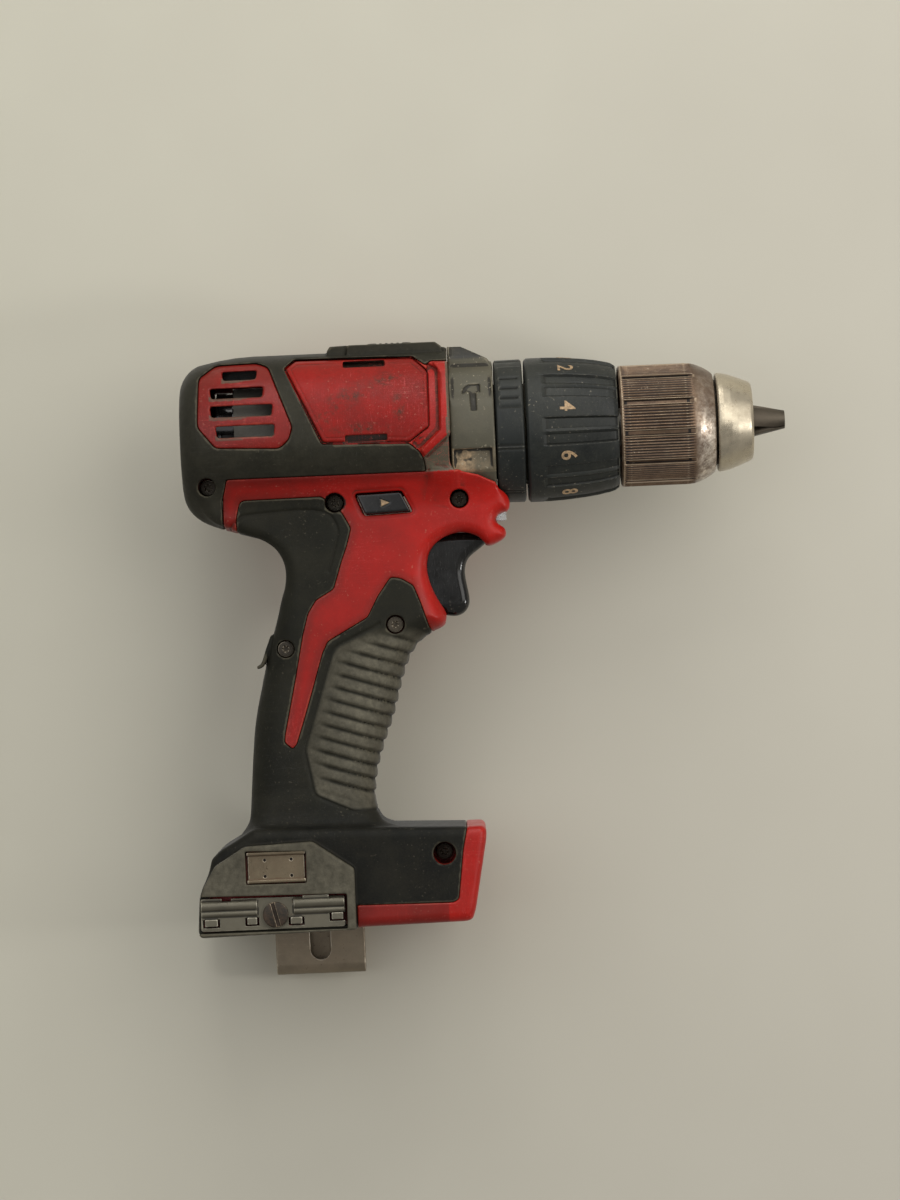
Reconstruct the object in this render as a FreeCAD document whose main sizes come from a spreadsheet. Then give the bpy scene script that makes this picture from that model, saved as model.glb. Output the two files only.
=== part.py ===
import FreeCAD, Part
import math
import os
import Sketcher
from FreeCAD import Placement, Rotation, Vector

# Cordless hammer drill driver, bare tool with no battery pack.
# Frame: +X along the spindle towards the chuck, +Z up, +Y to the tool's left.
# Origin: on the spindle axis, in the clamshell's split plane, at the gear case's front face.

doc = FreeCAD.newDocument("hammer_drill_driver")
sheet = doc.addObject("Spreadsheet::Sheet", "dims")
SUBPARTS = []  # (label, object) of every piece that is exported


# ---------------------------------------------------------------- dimensions
class Linked(float):
    """A number that remembers the sheet expression it came from.

    Arithmetic keeps the expression only when the Linked number is on the left.
    """

    def __new__(cls, value, expression):
        number = super().__new__(cls, value)
        number.expression = expression
        return number

    def _join(self, sign, other, value):
        text = other.expression if isinstance(other, Linked) else "%.9g" % other
        return Linked(value, "(%s %s %s)" % (self.expression, sign, text))

    def __add__(self, other):
        return self._join("+", other, float(self) + float(other))

    def __sub__(self, other):
        return self._join("-", other, float(self) - float(other))

    def __mul__(self, other):
        return self._join("*", other, float(self) * float(other))

    def __neg__(self):
        return Linked(-float(self), "(0 - %s)" % self.expression)


class Dims:
    """Holds one Linked number per sheet alias."""


# (alias, value, note)
DIMENSIONS = [
    ("rear_x", -110.0, "rear end of the motor housing"),
    ("barrel_radius", 30.0, "outside radius of the motor housing"),
    ("shell_front_x", -15.8, "front edge of the clamshell on the barrel"),
    ("wall", 3.2, "clamshell wall with its rubber"),
    ("rubber", 1.5, "thickness of the rubber skin"),
    ("handle_half", 17.0, "half width of the handle"),
    ("foot_half", 27.0, "half width of the foot"),
    ("pad_half", 33.5, "half width at the foot's accessory pads"),
    ("case_outer", 21.5, "gear case drum outside radius"),
    ("case_inner", 19.3, "gear case drum bore"),
    ("case_band", 24.9, "gear case visible band radius"),
    ("case_rear_x", -42.0, "gear case rear face"),
    ("tube_outer", 16.5, "gear case nose tube outside radius"),
    ("tube_inner", 11.5, "gear case nose tube bore"),
    ("tube_front_x", 38.0, "gear case nose tube front"),
    ("collar_outer", 25.3, "mode and torque collar rear radius"),
    ("collar_front", 22.3, "torque collar front radius"),
    ("collar_bore", 20.6, "collar bore radius"),
    ("mode_front_x", 10.1, "mode collar front face"),
    ("clutch_front_x", 43.0, "torque collar front face"),
    ("sleeve_outer", 21.3, "chuck sleeve outside radius"),
    ("sleeve_bore", 19.4, "chuck sleeve bore radius"),
    ("sleeve_rear_x", 43.8, "chuck sleeve rear face"),
    ("sleeve_front_x", 77.0, "chuck sleeve front face"),
    ("nose_front_x", 90.5, "chuck nose front face"),
    ("jaw_tip_x", 102.0, "jaw tips at rest"),
    ("jaw_angle", 14.0, "jaw slide angle from the spindle axis, degrees"),
    ("jaw_rod", 3.4, "jaw rod radius"),
    ("jaw_tip_offset", 2.2, "jaw rod centre from the axis at the tip"),
    ("grip_radius", 1.5, "radius between the jaws at rest"),
    ("chuck_bore", 6.6, "chuck body through bore radius"),
    ("spindle_radius", 6.35, "spindle shaft radius"),
    ("gear_module", 0.7, "gear module"),
    ("ring_teeth", 48, "teeth of every ring gear"),
    ("sun_one", 12, "teeth of the motor pinion"),
    ("sun_two", 18, "teeth of the second sun"),
    ("sun_three", 24, "teeth of the third sun"),
    ("ring_outer", 19.2, "ring gear outside radius"),
    ("pin_radius", 1.5, "planet pin radius"),
    ("can_outer", 18.8, "motor can outside radius"),
    ("can_inner", 17.5, "motor can bore"),
    ("can_rear_x", -91.0, "motor can rear edge"),
    ("can_front_x", -46.0, "motor can front face"),
    ("core_radius", 13.6, "rotor core radius"),
    ("shaft_radius", 2.5, "motor shaft radius"),
    ("commutator_radius", 8.0, "commutator radius"),
    ("trigger_half", 8.6, "half width of the trigger"),
    ("trigger_gap", 0.5, "side clearance of the trigger"),
    ("plunger_radius", 2.5, "switch plunger radius"),
    ("screw_head", 2.75, "housing screw head radius"),
    ("grip_x", 97.0, "middle of the jaws' grip, where the written parts have their origin"),
    ("screw_shank", 1.45, "housing screw shank radius"),
    ("clip_width", 32.0, "belt clip width"),
    ("clip_sheet", 1.5, "belt clip sheet thickness"),
    ("run_gap", 0.06, "running clearance on radius"),
]

dims = Dims()
for row, (alias, value, note) in enumerate(DIMENSIONS, 1):
    sheet.set("A%d" % row, alias)
    sheet.set("B%d" % row, "%.9g" % value)
    sheet.setAlias("B%d" % row, alias)
    sheet.set("C%d" % row, note)
    setattr(dims, alias, Linked(value, "dims." + alias))
doc.recompute()


# --------------------------------------------------------- document builders
def bind(obj, prop, value):
    """Sets a property, and ties it to the sheet when the value is Linked."""
    setattr(obj, prop, float(value))
    if isinstance(value, Linked):
        obj.setExpression(prop, value.expression)


def place(obj, x, y, z, rotation):
    obj.Placement = Placement(Vector(x, y, z), rotation)
    for axis, value in (("x", x), ("y", y), ("z", z)):
        if isinstance(value, Linked):
            obj.setExpression("Placement.Base." + axis, value.expression)
    return obj


def box(name, x, y, z, dx, dy, dz):
    obj = doc.addObject("Part::Box", name)
    for prop, size in (("Length", dx), ("Width", dy), ("Height", dz)):
        bind(obj, prop, size)
    return place(obj, x, y, z, Rotation())


AXIS_TURN = {
    "x": Rotation(Vector(0, 1, 0), 90),
    "y": Rotation(Vector(1, 0, 0), -90),
    "z": Rotation(),
}


def cyl(name, radius, x, y, z, length, axis="x"):
    obj = doc.addObject("Part::Cylinder", name)
    bind(obj, "Radius", radius)
    bind(obj, "Height", length)
    return place(obj, x, y, z, AXIS_TURN[axis])


def sketch(body, name, role, points, offset=0.0):
    """A closed polyline sketch whose corners are dimensioned from the origin."""
    profile = body.newObject("Sketcher::SketchObject", name)
    plane = next(f for f in body.Origin.OriginFeatures if f.Role == role)
    profile.AttachmentSupport = [(plane, "")]
    profile.MapMode = "FlatFace"
    if offset:
        profile.AttachmentOffset = Placement(Vector(0, 0, offset), Rotation())
    count = len(points)
    corners = [Vector(a, b, 0) for a, b in points]
    profile.addGeometry(
        [Part.LineSegment(corners[i], corners[(i + 1) % count]) for i in range(count)], False
    )
    constraints = [
        Sketcher.Constraint("Coincident", i, 2, (i + 1) % count, 1) for i in range(count)
    ]
    bound = []
    for i, (a, b) in enumerate(points):
        for kind, value, axis in (("DistanceX", a, -2), ("DistanceY", b, -1)):
            if abs(value) < 1e-9:
                constraints.append(Sketcher.Constraint("PointOnObject", i, 1, axis))
                continue
            if isinstance(value, Linked):
                bound.append((len(constraints), value.expression))
            constraints.append(Sketcher.Constraint(kind, -1, 1, i, 1, float(value)))
    profile.addConstraint(constraints)
    for index, expression in bound:
        profile.setExpression("Constraints[%d]" % index, expression)
    return profile


def rev(name, points):
    """A body turned full circle about X from a closed (x, radius) profile."""
    body = doc.addObject("PartDesign::Body", name)
    profile = sketch(body, name + "_profile", "XZ_Plane", points)
    turning = body.newObject("PartDesign::Revolution", name + "_turned")
    turning.Profile = profile
    turning.ReferenceAxis = (profile, ["H_Axis"])
    turning.Angle = 360.0
    body.Tip = turning
    return body


def pad(name, role, points, length, offset=0.0, middle=False):
    """A padded profile: XZ_Plane takes (x, z) points, YZ_Plane takes (y, z) and pads to +X."""
    body = doc.addObject("PartDesign::Body", name)
    profile = sketch(body, name + "_profile", role, points, offset)
    padding = body.newObject("PartDesign::Pad", name + "_pad")
    padding.Profile = profile
    bind(padding, "Length", length)
    if middle:
        # FreeCAD releases differ in the property that centres a pad on its sketch.
        if hasattr(padding, "SideType"):
            padding.SideType = "Symmetric"
        else:
            padding.Midplane = True
    body.Tip = padding
    return body


def fuse(name, *shapes):
    obj = doc.addObject("Part::MultiFuse", name)
    obj.Shapes = list(shapes)
    return obj


def cut(name, base, *tools):
    obj = doc.addObject("Part::Cut", name)
    obj.Base = base
    obj.Tool = tools[0] if len(tools) == 1 else fuse(name + "_tools", *tools)
    return obj


def common(name, *shapes):
    obj = doc.addObject("Part::MultiCommon", name)
    obj.Shapes = list(shapes)
    return obj


def mirror(name, source):
    """The source reflected across the split plane, y = 0."""
    obj = doc.addObject("Part::Mirroring", name)
    obj.Source = source
    obj.Base = Vector(0, 0, 0)
    obj.Normal = Vector(0, 1, 0)
    return obj


def feature(name, shape):
    obj = doc.addObject("Part::Feature", name)
    obj.Shape = shape
    return obj


def box_set(name, rows):
    """Fused boxes from (name, x, y, z, dx, dy, dz) rows."""
    return fuse(name, *[box(*row) for row in rows])


def node(label, obj):
    """Labels an object and lists it for export."""
    obj.Label = label
    SUBPARTS.append((label, obj))
    return obj


# ------------------------------------------------------------- plain shapes
ORIGIN = Vector(0, 0, 0)
ALONG_X = Vector(1, 0, 0)
ALONG_Y = Vector(0, 1, 0)


def rod(radius, x, y, z, length, direction=ALONG_X):
    return Part.makeCylinder(radius, length, Vector(x, y, z), direction)


def tube(bore, radius, x, length):
    return rod(radius, x, 0, 0, length).cut(rod(bore, x, 0, 0, length))


def block(x, y, z, dx, dy, dz):
    return Part.makeBox(dx, dy, dz, Vector(x, y, z))


def polygon_face(points):
    return Part.Face(Part.makePolygon(points + points[:1]))


def turned(shape, degrees):
    copy = shape.copy()
    copy.rotate(ORIGIN, ALONG_X, degrees)
    return copy


def ring_of(shape, count, start=0.0):
    """Copies of a shape spaced evenly round the X axis."""
    return [turned(shape, start + 360.0 * k / count) for k in range(count)]


def solid_of(faces):
    solid = Part.makeSolid(Part.makeShell(faces))
    if solid.Volume < 0:
        solid.reverse()
    return solid


# ------------------------------------------------------- polygons with chamfer
def inset(poly, depth):
    """Moves every side of a closed (x, z) polygon inwards, keeping the corner count."""
    count = len(poly)
    area = sum(
        poly[i][0] * poly[(i + 1) % count][1] - poly[(i + 1) % count][0] * poly[i][1]
        for i in range(count)
    )
    sign = 1.0 if area > 0 else -1.0
    lines = []
    for i in range(count):
        (ax, az), (bx, bz) = poly[i], poly[(i + 1) % count]
        length = math.hypot(bx - ax, bz - az)
        nx, nz = -(bz - az) / length * sign, (bx - ax) / length * sign
        lines.append((ax + nx * depth, az + nz * depth, bx - ax, bz - az))
    corners = []
    for i in range(count):
        ax, az, adx, adz = lines[i - 1]
        bx, bz, bdx, bdz = lines[i]
        along = ((bx - ax) * bdz - (bz - az) * bdx) / (adx * bdz - adz * bdx)
        corners.append((ax + adx * along, az + adz * along))
    return corners


def settle(poly, depth):
    """Merges the corners of any side that would turn round when the polygon is inset."""
    poly = [tuple(p) for p in poly]
    while depth:
        moved = inset(poly, depth)
        count = len(poly)
        bad = []
        for i in range(count):
            j = (i + 1) % count
            ex, ez = poly[j][0] - poly[i][0], poly[j][1] - poly[i][1]
            fx, fz = moved[j][0] - moved[i][0], moved[j][1] - moved[i][1]
            length = math.hypot(ex, ez)
            if ex * fx + ez * fz < 0.1 * length:
                bad.append((length, i))
        if not bad:
            break
        i = min(bad)[1]
        j = (i + 1) % count
        middle = ((poly[i][0] + poly[j][0]) / 2.0, (poly[i][1] + poly[j][1]) / 2.0)
        if j:
            poly[i:j + 1] = [middle]
        else:
            poly = [middle] + poly[1:-1]
    return poly


def shrink(poly, depth):
    return inset(settle(poly, depth), depth) if depth else poly


def prism(poly, levels):
    """A flat-faced solid: at each (y, inset) level the (x, z) polygon is moved inwards."""
    poly = settle(poly, max(depth for y, depth in levels))
    rings = []
    for y, depth in levels:
        corners = inset(poly, depth) if depth else poly
        rings.append([Vector(x, y, z) for x, z in corners])
    faces = [polygon_face(rings[0]), polygon_face(rings[-1])]
    for near, far in zip(rings, rings[1:]):
        for i in range(len(poly)):
            j = (i + 1) % len(poly)
            faces.append(polygon_face([near[i], near[j], far[j], far[i]]))
    return solid_of(faces)


def slab(name, poly, y0, y1):
    """An (x, z) polygon with square edges from y0 to y1."""
    return feature(name, prism(poly, [(y0, 0.0), (y1, 0.0)]))


def rounded(name, poly, half, edge, depth=0.0):
    """An (x, z) polygon about y = 0 with faceted edges, brought in by depth all round.

    edge lists (distance in from the half width, inset of the polygon there).
    """
    side = [(half - drop - depth, step) for drop, step in edge]
    levels = [(-y, step) for y, step in reversed(side)] + side
    return feature(name, prism(shrink(poly, depth), levels))


# ============================================================ outer body forms
# Side outlines, (x, z).
HANDLE = [
    (-97, -10), (-12, -10), (-6.3, -14.6), (-0.6, -17.8), (3.0, -22.2), (4.1, -27.2),
    (2.4, -36.4), (-2.4, -39.9), (-5.0, -38.4), (-8.5, -35.2), (-15.2, -34.8),
    (-21.3, -37.3), (-25.2, -41.8), (-26.2, -47.0), (-25.2, -52.0), (-22.6, -57.8),
    (-19.2, -63.6), (-20.4, -67.4), (-26.2, -69.6), (-31.2, -75.2), (-35.2, -83.6),
    (-39.9, -99.8), (-44.6, -112.2), (-47.0, -123.5), (-46.9, -130.0), (-44.0, -136.5),
    (-44.0, -146.0), (-90.0, -146.0), (-93.6, -137.0), (-91.4, -131.0), (-90.7, -121.5),
    (-88.5, -99.3), (-84.1, -80.2), (-78.9, -62.7), (-75.9, -52.5), (-75.2, -46.0),
    (-76.6, -40.8), (-80.4, -36.4), (-88.3, -32.8), (-96.6, -29.8), (-103.2, -26.4),
    (-104.0, -18.0),
]
FOOT = [
    (-44.0, -136.0), (-9.3, -137.2), (-14.4, -170.2), (-50.0, -170.8), (-110.2, -171.6),
    (-109.9, -157.2), (-106.4, -150.4), (-104.4, -145.0), (-96.0, -138.6), (-88.0, -134.6),
]
PAD = [
    (-93.4, -140.6), (-69.5, -139.8), (-55.3, -149.7), (-55.4, -170.8), (-109.4, -171.4),
    (-110.2, -168.0), (-109.6, -157.6), (-104.2, -149.2),
]
# Section that narrows the barrel below the axis, (y, z).
LOWER = [
    (-34, 45), (34, 45), (34, -4.2), (17, -20.5), (17, -45), (-17, -45), (-17, -20.5),
    (-34, -4.2),
]
# Edge facets, (distance in from the half width, inset).
HANDLE_EDGE = [(5.5, 0.0), (2.0, 0.9), (0.0, 2.6)]
FOOT_EDGE = [(5.0, 0.0), (1.6, 1.2), (0.0, 3.2)]
PAD_EDGE = [(1.5, 0.0), (0.0, 1.2)]
PAD_UNDER_EDGE = [(1.8, 0.0), (1.3, 0.4)]
PAD_SKIN = 0.2  # how far the pad outline steps in below its rubber


def barrel_form(name, depth, front=0.0, tapered=True):
    """The motor housing brought in by depth, its front moved by front along X."""
    rear, radius = dims.rear_x + depth, dims.barrel_radius
    front_x = dims.shell_front_x + front
    profile = [
        (rear, 0.0), (rear, 8.0), (rear + 0.4, 16.0 - depth * 0.6),
        (rear + 1.4, 21.2 - depth * 0.8), (rear + 3.0, 23.8 - depth * 0.9),
        (rear + 8.3, radius - 2.9 - depth), (rear + 13.4, radius - 1.1 - depth),
        (dims.rear_x + 23.2, radius - depth), (front_x, radius - depth), (front_x, 0.0),
    ]
    if not tapered:
        return rev(name, profile)
    section = inset(LOWER, depth) if depth else LOWER
    face = polygon_face([Vector(-130, y, z) for y, z in section])
    taper = feature(name + "_taper", face.extrude(Vector(160, 0, 0)))
    return common(name, rev(name + "_round", profile), taper)


def handle_form(name, depth):
    return rounded(name, HANDLE, dims.handle_half, HANDLE_EDGE, depth)


def foot_form(name, depth):
    return rounded(name, FOOT, dims.foot_half, FOOT_EDGE, depth)


outer = fuse(
    "outer_form", barrel_form("barrel_outer", 0.0), handle_form("handle_outer", 0.0),
    foot_form("foot_outer", 0.0), rounded("pads_outer", PAD, dims.pad_half, PAD_EDGE),
)
under = fuse(
    "under_form", barrel_form("barrel_under", dims.rubber),
    handle_form("handle_under", dims.rubber), foot_form("foot_under", dims.rubber),
    rounded("pads_under", PAD, dims.pad_half, PAD_UNDER_EDGE, PAD_SKIN),
)
inner = fuse(
    "inner_form", barrel_form("barrel_inner", dims.wall, 1.0),
    handle_form("handle_inner", dims.wall), foot_form("foot_inner", dims.wall),
)

# ========================================================== clamshell openings
# Rails under the foot: a pocket open at the front and below, with a lip on each side
# that a pack slides onto.
SLOT_TOP, SLOT_LIP, SLOT_REAR = -158.5, -166.0, -98.0
SLOT_HALF, NECK_HALF, ROOF_HALF = 21.5, 17.5, 25.0
rail_slot = box_set("rail_slot", [
    ("rail_slot_wide", SLOT_REAR, -SLOT_HALF, SLOT_LIP,
     100.0, 2 * SLOT_HALF, SLOT_TOP - SLOT_LIP),
    ("rail_slot_neck", SLOT_REAR, -NECK_HALF, -175.0, 100.0, 2 * NECK_HALF, 16.0),
])
slot_roof = common(
    "slot_roof_form",
    box("slot_roof_box", SLOT_REAR - 3.0, -ROOF_HALF, SLOT_TOP - 16.0,
        120.0, 2 * ROOF_HALF, 18.5),
    foot_form("foot_roof", 0.8),
)

# The trigger opening, with side clearance.
TRIGGER_ROOM = [
    (-1.0, -35.0), (-1.0, -41.0), (-9.0, -46.0), (-9.0, -66.0), (-19.5, -66.0),
    (-24.5, -64.2), (-44.0, -64.2), (-44.0, -34.6),
]
room_half = dims.trigger_half + dims.trigger_gap
trigger_room = slab("trigger_room", TRIGGER_ROOM, -room_half, room_half)

# Direction button outline and its opening.
BUTTON = [(-49.2, -20.7), (-34.2, -20.4), (-30.9, -27.0), (-46.4, -27.4)]
BUTTON_GAP = 0.35
button_hole = slab("button_hole", inset(BUTTON, -BUTTON_GAP), -60, 60)

# Motor air slots at the rear, through both sides: (x0, x1, z0, z1).
VENT_SLOTS = [
    (-93.5, -83.0, 21.2, 23.6), (-100.0, -80.6, 15.1, 17.7),
    (-99.8, -77.4, 8.4, 11.2), (-95.0, -76.4, 1.2, 4.0),
]
vent_slots = box_set("vent_slots", [
    ("vent_slot_%d" % i, x0, -40.0, z0, x1 - x0, 80.0, z1 - z0)
    for i, (x0, x1, z0, z1) in enumerate(VENT_SLOTS)
])

# Housing screws go in from the right:
# (x, z, y of the head's outer face, half length of the boss, shank length).
SCREWS = [
    (-13.6, -23.3, -8.5, 20.0, 16.0), (-101.2, -15.7, -9.5, 20.0, 16.0),
    (-57.1, -22.9, -8.5, 20.0, 16.0), (-37.7, -66.2, -14.4, 20.0, 20.0),
    (-76.3, -73.2, -13.6, 20.0, 20.0), (-23.9, -146.1, -12.5, 25.0, 16.0),
]
BOSS_RADIUS = 3.9
PILOT_GAP, COUNTERBORE_GAP = 0.06, 0.35  # on radius
COUNTERBORE_START = -45.0
SEAT_DEPTH = 2.2  # counterbore floor beyond the head's outer face
bosses, holes = [], []
for i, (x, z, head_y, half, shank_length) in enumerate(SCREWS):
    bosses.append(cyl("boss_%d" % i, BOSS_RADIUS, x, -half, z, 2 * half, "y"))
    holes.append(cyl("pilot_%d" % i, dims.screw_shank + PILOT_GAP, x, -20.0, z, 32.0, "y"))
    holes.append(cyl("counterbore_%d" % i, dims.screw_head + COUNTERBORE_GAP,
                     x, COUNTERBORE_START, z, head_y + SEAT_DEPTH - COUNTERBORE_START, "y"))
bosses_raw = common("boss_forms", fuse("boss_posts", *bosses), outer)
pilots = fuse("screw_holes", *holes)

# Ribs that cradle the motor can, and the rear wall's bearing seat.
RIB_RADIUS, RIB_WIDTH = 27.4, 2.0


def can_rib(name, x):
    bore = dims.can_outer + 0.03
    return rev(name, [(x, bore), (x, RIB_RADIUS), (x + RIB_WIDTH, RIB_RADIUS),
                      (x + RIB_WIDTH, bore)])


ribs = cut(
    "motor_ribs",
    fuse(
        "motor_ribs_whole",
        can_rib("rib_rear", -88.0),
        can_rib("rib_front", -52.0),
        rev("bearing_seat", [(-107.5, 0.0), (-107.5, 9.6), (-99.8, 9.6), (-99.8, 8.05),
                             (-105.0, 8.05), (-105.0, 0.0)]),
    ),
    box_set("wire_pass", [
        ("wire_pass_right", -92.0, -14.0, -32.0, 10.0, 9.0, 16.0),
        ("wire_pass_left", -92.0, 5.0, -32.0, 10.0, 9.0, 16.0),
    ]),
)

# Rooms for the gear case, collar, motor can, selector and lens.
FLAT_GAP = 0.4  # below the drum, to the flat under the gear case band
clear_front = cyl("gear_case_room", dims.case_outer + 0.15, -44.0, 0.0, 0.0, 60.0)
clear_band = cut(
    "gear_case_band_room",
    cyl("band_room_round", dims.case_band + 0.3, dims.shell_front_x, 0.0, 0.0, 60.0),
    box("band_room_flat", -20.0, -40.0, -60.0, 20.0, 80.0, 60.0 - dims.case_outer - FLAT_GAP),
)
clear_collar = cyl("collar_room", dims.collar_outer + 0.5, 0.1, 0.0, 0.0, 60.0)
can_room = cyl("can_room", dims.can_outer + 0.1, dims.can_rear_x - 0.5, 0.0, 0.0, 47.0)
selector_slot = box("selector_slot", -41.6, -4.2, 20.0, 12.2, 8.4, 20.0)
lens_room = box("lens_room", -2.6, -7.2, -31.6, 12.0, 14.4, 3.9)

# Raised frame round the selector, and the cradle under the gear case, (x, z) or (x, radius).
SELECTOR_FRAME = [
    (-57.8, 26.0), (-57.8, 30.1), (-56.6, 32.1), (-49.2, 32.2), (-48.4, 30.3), (-26.8, 30.3),
    (-25.8, 31.6), (-19.0, 31.5), (-17.8, 30.3), (-16.0, 30.0), (-16.0, 26.0),
]
CRADLE_RING = [(-16.5, 24.5), (-16.5, 27.6), (-0.9, 27.1), (-0.9, 24.5)]
CRADLE_SIDE = [
    (-16.5, -13.7), (-13.4, -13.7), (-6.6, -15.3), (-0.8, -18.1), (-0.8, -30.0), (-16.5, -30.0),
]
selector_frame = slab("selector_frame", SELECTOR_FRAME, -9.0, 9.0)
cradle = common("case_cradle", rev("cradle_ring", CRADLE_RING),
                slab("cradle_side", CRADLE_SIDE, -40.0, 40.0))

# Screw holes and channels in the foot's side pads.
RIGHT_HOLE_X, LEFT_HOLE_X, HOLE_Z = -83.1, -70.0, -164.5
accessory_holes = fuse(
    "accessory_holes",
    cyl("right_accessory_hole", 2.1, RIGHT_HOLE_X, -40.0, HOLE_Z, 20.0, "y"),
    cyl("left_accessory_hole", 2.1, LEFT_HOLE_X, 21.5, HOLE_Z, 18.5, "y"),
)
channel_cut = box_set("channel_cut", [
    ("channel_right", -112.0, -40.0, -170.2, 54.2, 9.7, 12.6),
    ("tray_right", -92.6, -40.0, -153.6, 20.6, 8.95, 10.4),
    ("channel_left", -87.0, 31.7, -196.0, 34.0, 9.0, 52.0),
])

framed = fuse(
    "framed_shell", cut("hollow_shell", outer, inner), common("rib_forms", ribs, outer),
    cut("boss_forms_clear", bosses_raw, can_room), slot_roof, selector_frame, cradle,
)
opened = cut(
    "opened_shell", framed, trigger_room, button_hole, vent_slots, pilots, clear_front,
    clear_band, clear_collar, selector_slot, lens_room, accessory_holes, channel_cut, rail_slot,
)
right_half = box("right_half_space", -200.0, -60.0, -250.0, 300.0, 60.0, 320.0)
left_half = box("left_half_space", -200.0, 0.0, -250.0, 300.0, 60.0, 320.0)

# ================================================= rubber, side panels, shells
# Regions seen from the side, (x, z).
BARREL_RUBBER = [
    (-118, 40), (-15.9, 40), (-15.9, 25.6), (-23.4, 25.0), (-27.0, 27.4), (-68.9, 27.6),
    (-72.8, 24.2), (-60.2, -3.0), (-29.0, -3.6), (-24.9, -9.6), (-24.9, -13.6),
    (-94.4, -14.2), (-96.2, -21.0), (-96.0, -31.5), (-118, -31.5),
]
VENT = [
    (-97.0, 27.2), (-82.0, 27.2), (-77.6, 25.0), (-69.6, 3.5), (-71.2, -1.2), (-75.0, -3.9),
    (-97.2, -3.2), (-103.4, 4.9), (-102.8, 22.3),
]
WINDOW = [
    (-72.4, 24.2), (-68.8, 27.3), (-27.4, 27.0), (-23.4, 24.4), (-16.6, 24.4), (-16.0, 20.0),
    (-16.2, -1.4), (-24.7, -9.0), (-29.2, -3.2), (-60.0, -2.6),
]
# Front edge of the handle rubber, round the bare red blade.
RED_EDGE = [
    (-91.3, -31.6), (-91.5, -27.3), (-90.2, -21.9), (-88.9, -21.0), (-61.6, -20.7),
    (-54.8, -26.5), (-51.9, -32.1), (-55.5, -42.9), (-58.8, -52.9), (-65.1, -56.5),
    (-68.1, -61.1), (-70.3, -68.7), (-73.3, -83.1), (-77.8, -102.8), (-78.2, -105.8),
    (-75.3, -108.3), (-73.7, -106.6), (-67.5, -88.1), (-63.4, -75.1), (-61.4, -71.2),
    (-47.2, -63.4), (-43.2, -56.0), (-38.7, -49.8), (-35.2, -50.3), (-31.0, -52.9),
    (-28.7, -59.1), (-26.2, -67.5), (-26.0, -69.2),
]
# The rubber goes on down the grip and over the foot, and back up behind the handle.
HANDLE_RUBBER = RED_EDGE + [
    (-18.0, -73.0), (-30.0, -134.0), (-12.0, -134.0), (-16.3, -137.3), (-17.5, -145.0),
    (-19.7, -162.0), (-21.5, -163.0), (-54.9, -162.7), (-54.9, -175.0), (-118.0, -175.0),
    (-118.0, -31.6),
]
PANEL_DEPTH, PANEL_PROUD, PANEL_GAP = 1.4, 0.9, 0.25  # into, above, and round the pocket


def region(name, poly):
    """A side region taken through the right half."""
    return slab(name, poly, -60.0, 0.0)


skin_form = cut("skin_form", outer, under)
vent_region = region("vent_region", VENT)
barrel_skin = common("barrel_skin", skin_form, region("barrel_rubber_region", BARREL_RUBBER))
handle_skin = common("handle_skin", skin_form, region("handle_rubber_region", HANDLE_RUBBER))

barrel_right = cut("barrel_rubber_form", barrel_skin, vent_region, pilots, clear_band,
                   selector_frame)
handle_right = cut("handle_rubber_form", handle_skin, pilots, accessory_holes, channel_cut,
                   rail_slot, clear_collar, trigger_room)

# Side panel: a badge plate let into the shell and standing a little proud of it.
pocket_right = common(
    "panel_pocket",
    cut("panel_pocket_skin", outer,
        barrel_form("barrel_panel_under", PANEL_DEPTH, tapered=False)),
    region("panel_region", WINDOW),
)
panel_right = common(
    "panel_plate",
    cut("panel_plate_skin", barrel_form("barrel_panel_outer", -PANEL_PROUD, tapered=False),
        barrel_form("barrel_panel_base", PANEL_DEPTH, tapered=False)),
    region("panel_plate_region", inset(WINDOW, PANEL_GAP)),
)

node("housing_right", cut("right_shell_form", common("right_shell_raw", opened, right_half),
                          barrel_right, handle_right, pocket_right))
node("barrel_overmold_right", barrel_right)
node("handle_overmold_right", handle_right)
node("side_panel_right", panel_right)

# The left side is mirrored, without the screw holes in its rubber.
barrel_left = mirror("barrel_rubber_mirror", cut("barrel_rubber_left_form", barrel_skin,
                                                 vent_region, clear_band, selector_frame))
handle_left_whole = mirror("handle_rubber_mirror", handle_skin)
node("barrel_overmold_left", barrel_left)
node("handle_overmold_left", cut("handle_rubber_left", handle_left_whole, accessory_holes,
                                 channel_cut, rail_slot, clear_collar, trigger_room))
node("side_panel_left", mirror("panel_plate_mirror", panel_right))
node("housing_left", cut("left_shell_form", common("left_shell_raw", opened, left_half),
                         barrel_left, handle_left_whole,
                         mirror("panel_pocket_mirror", pocket_right)))

# ============================================================= housing screws
HEAD_THICK = 2.0


def housing_screw(x, z, y, shank_length):
    """A screw along +Y with a six-point recess in its head."""
    head = rod(dims.screw_head, x, y, z, HEAD_THICK, ALONG_Y)
    shank = rod(dims.screw_shank, x, y + HEAD_THICK, z, shank_length, ALONG_Y)
    star = None
    for k in range(3):
        bar = block(-1.3, y - 0.1, -0.425, 2.6, 1.1, 0.85)
        bar.rotate(ORIGIN, ALONG_Y, 60 * k)
        bar.translate(Vector(x, 0, z))
        star = bar if star is None else star.fuse(bar)
    return head.fuse(shank).cut(star)


node("housing_screws", feature("housing_screws_form", Part.makeCompound([
    housing_screw(x, z, head_y, shank_length) for x, z, head_y, half, shank_length in SCREWS
])))

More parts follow.
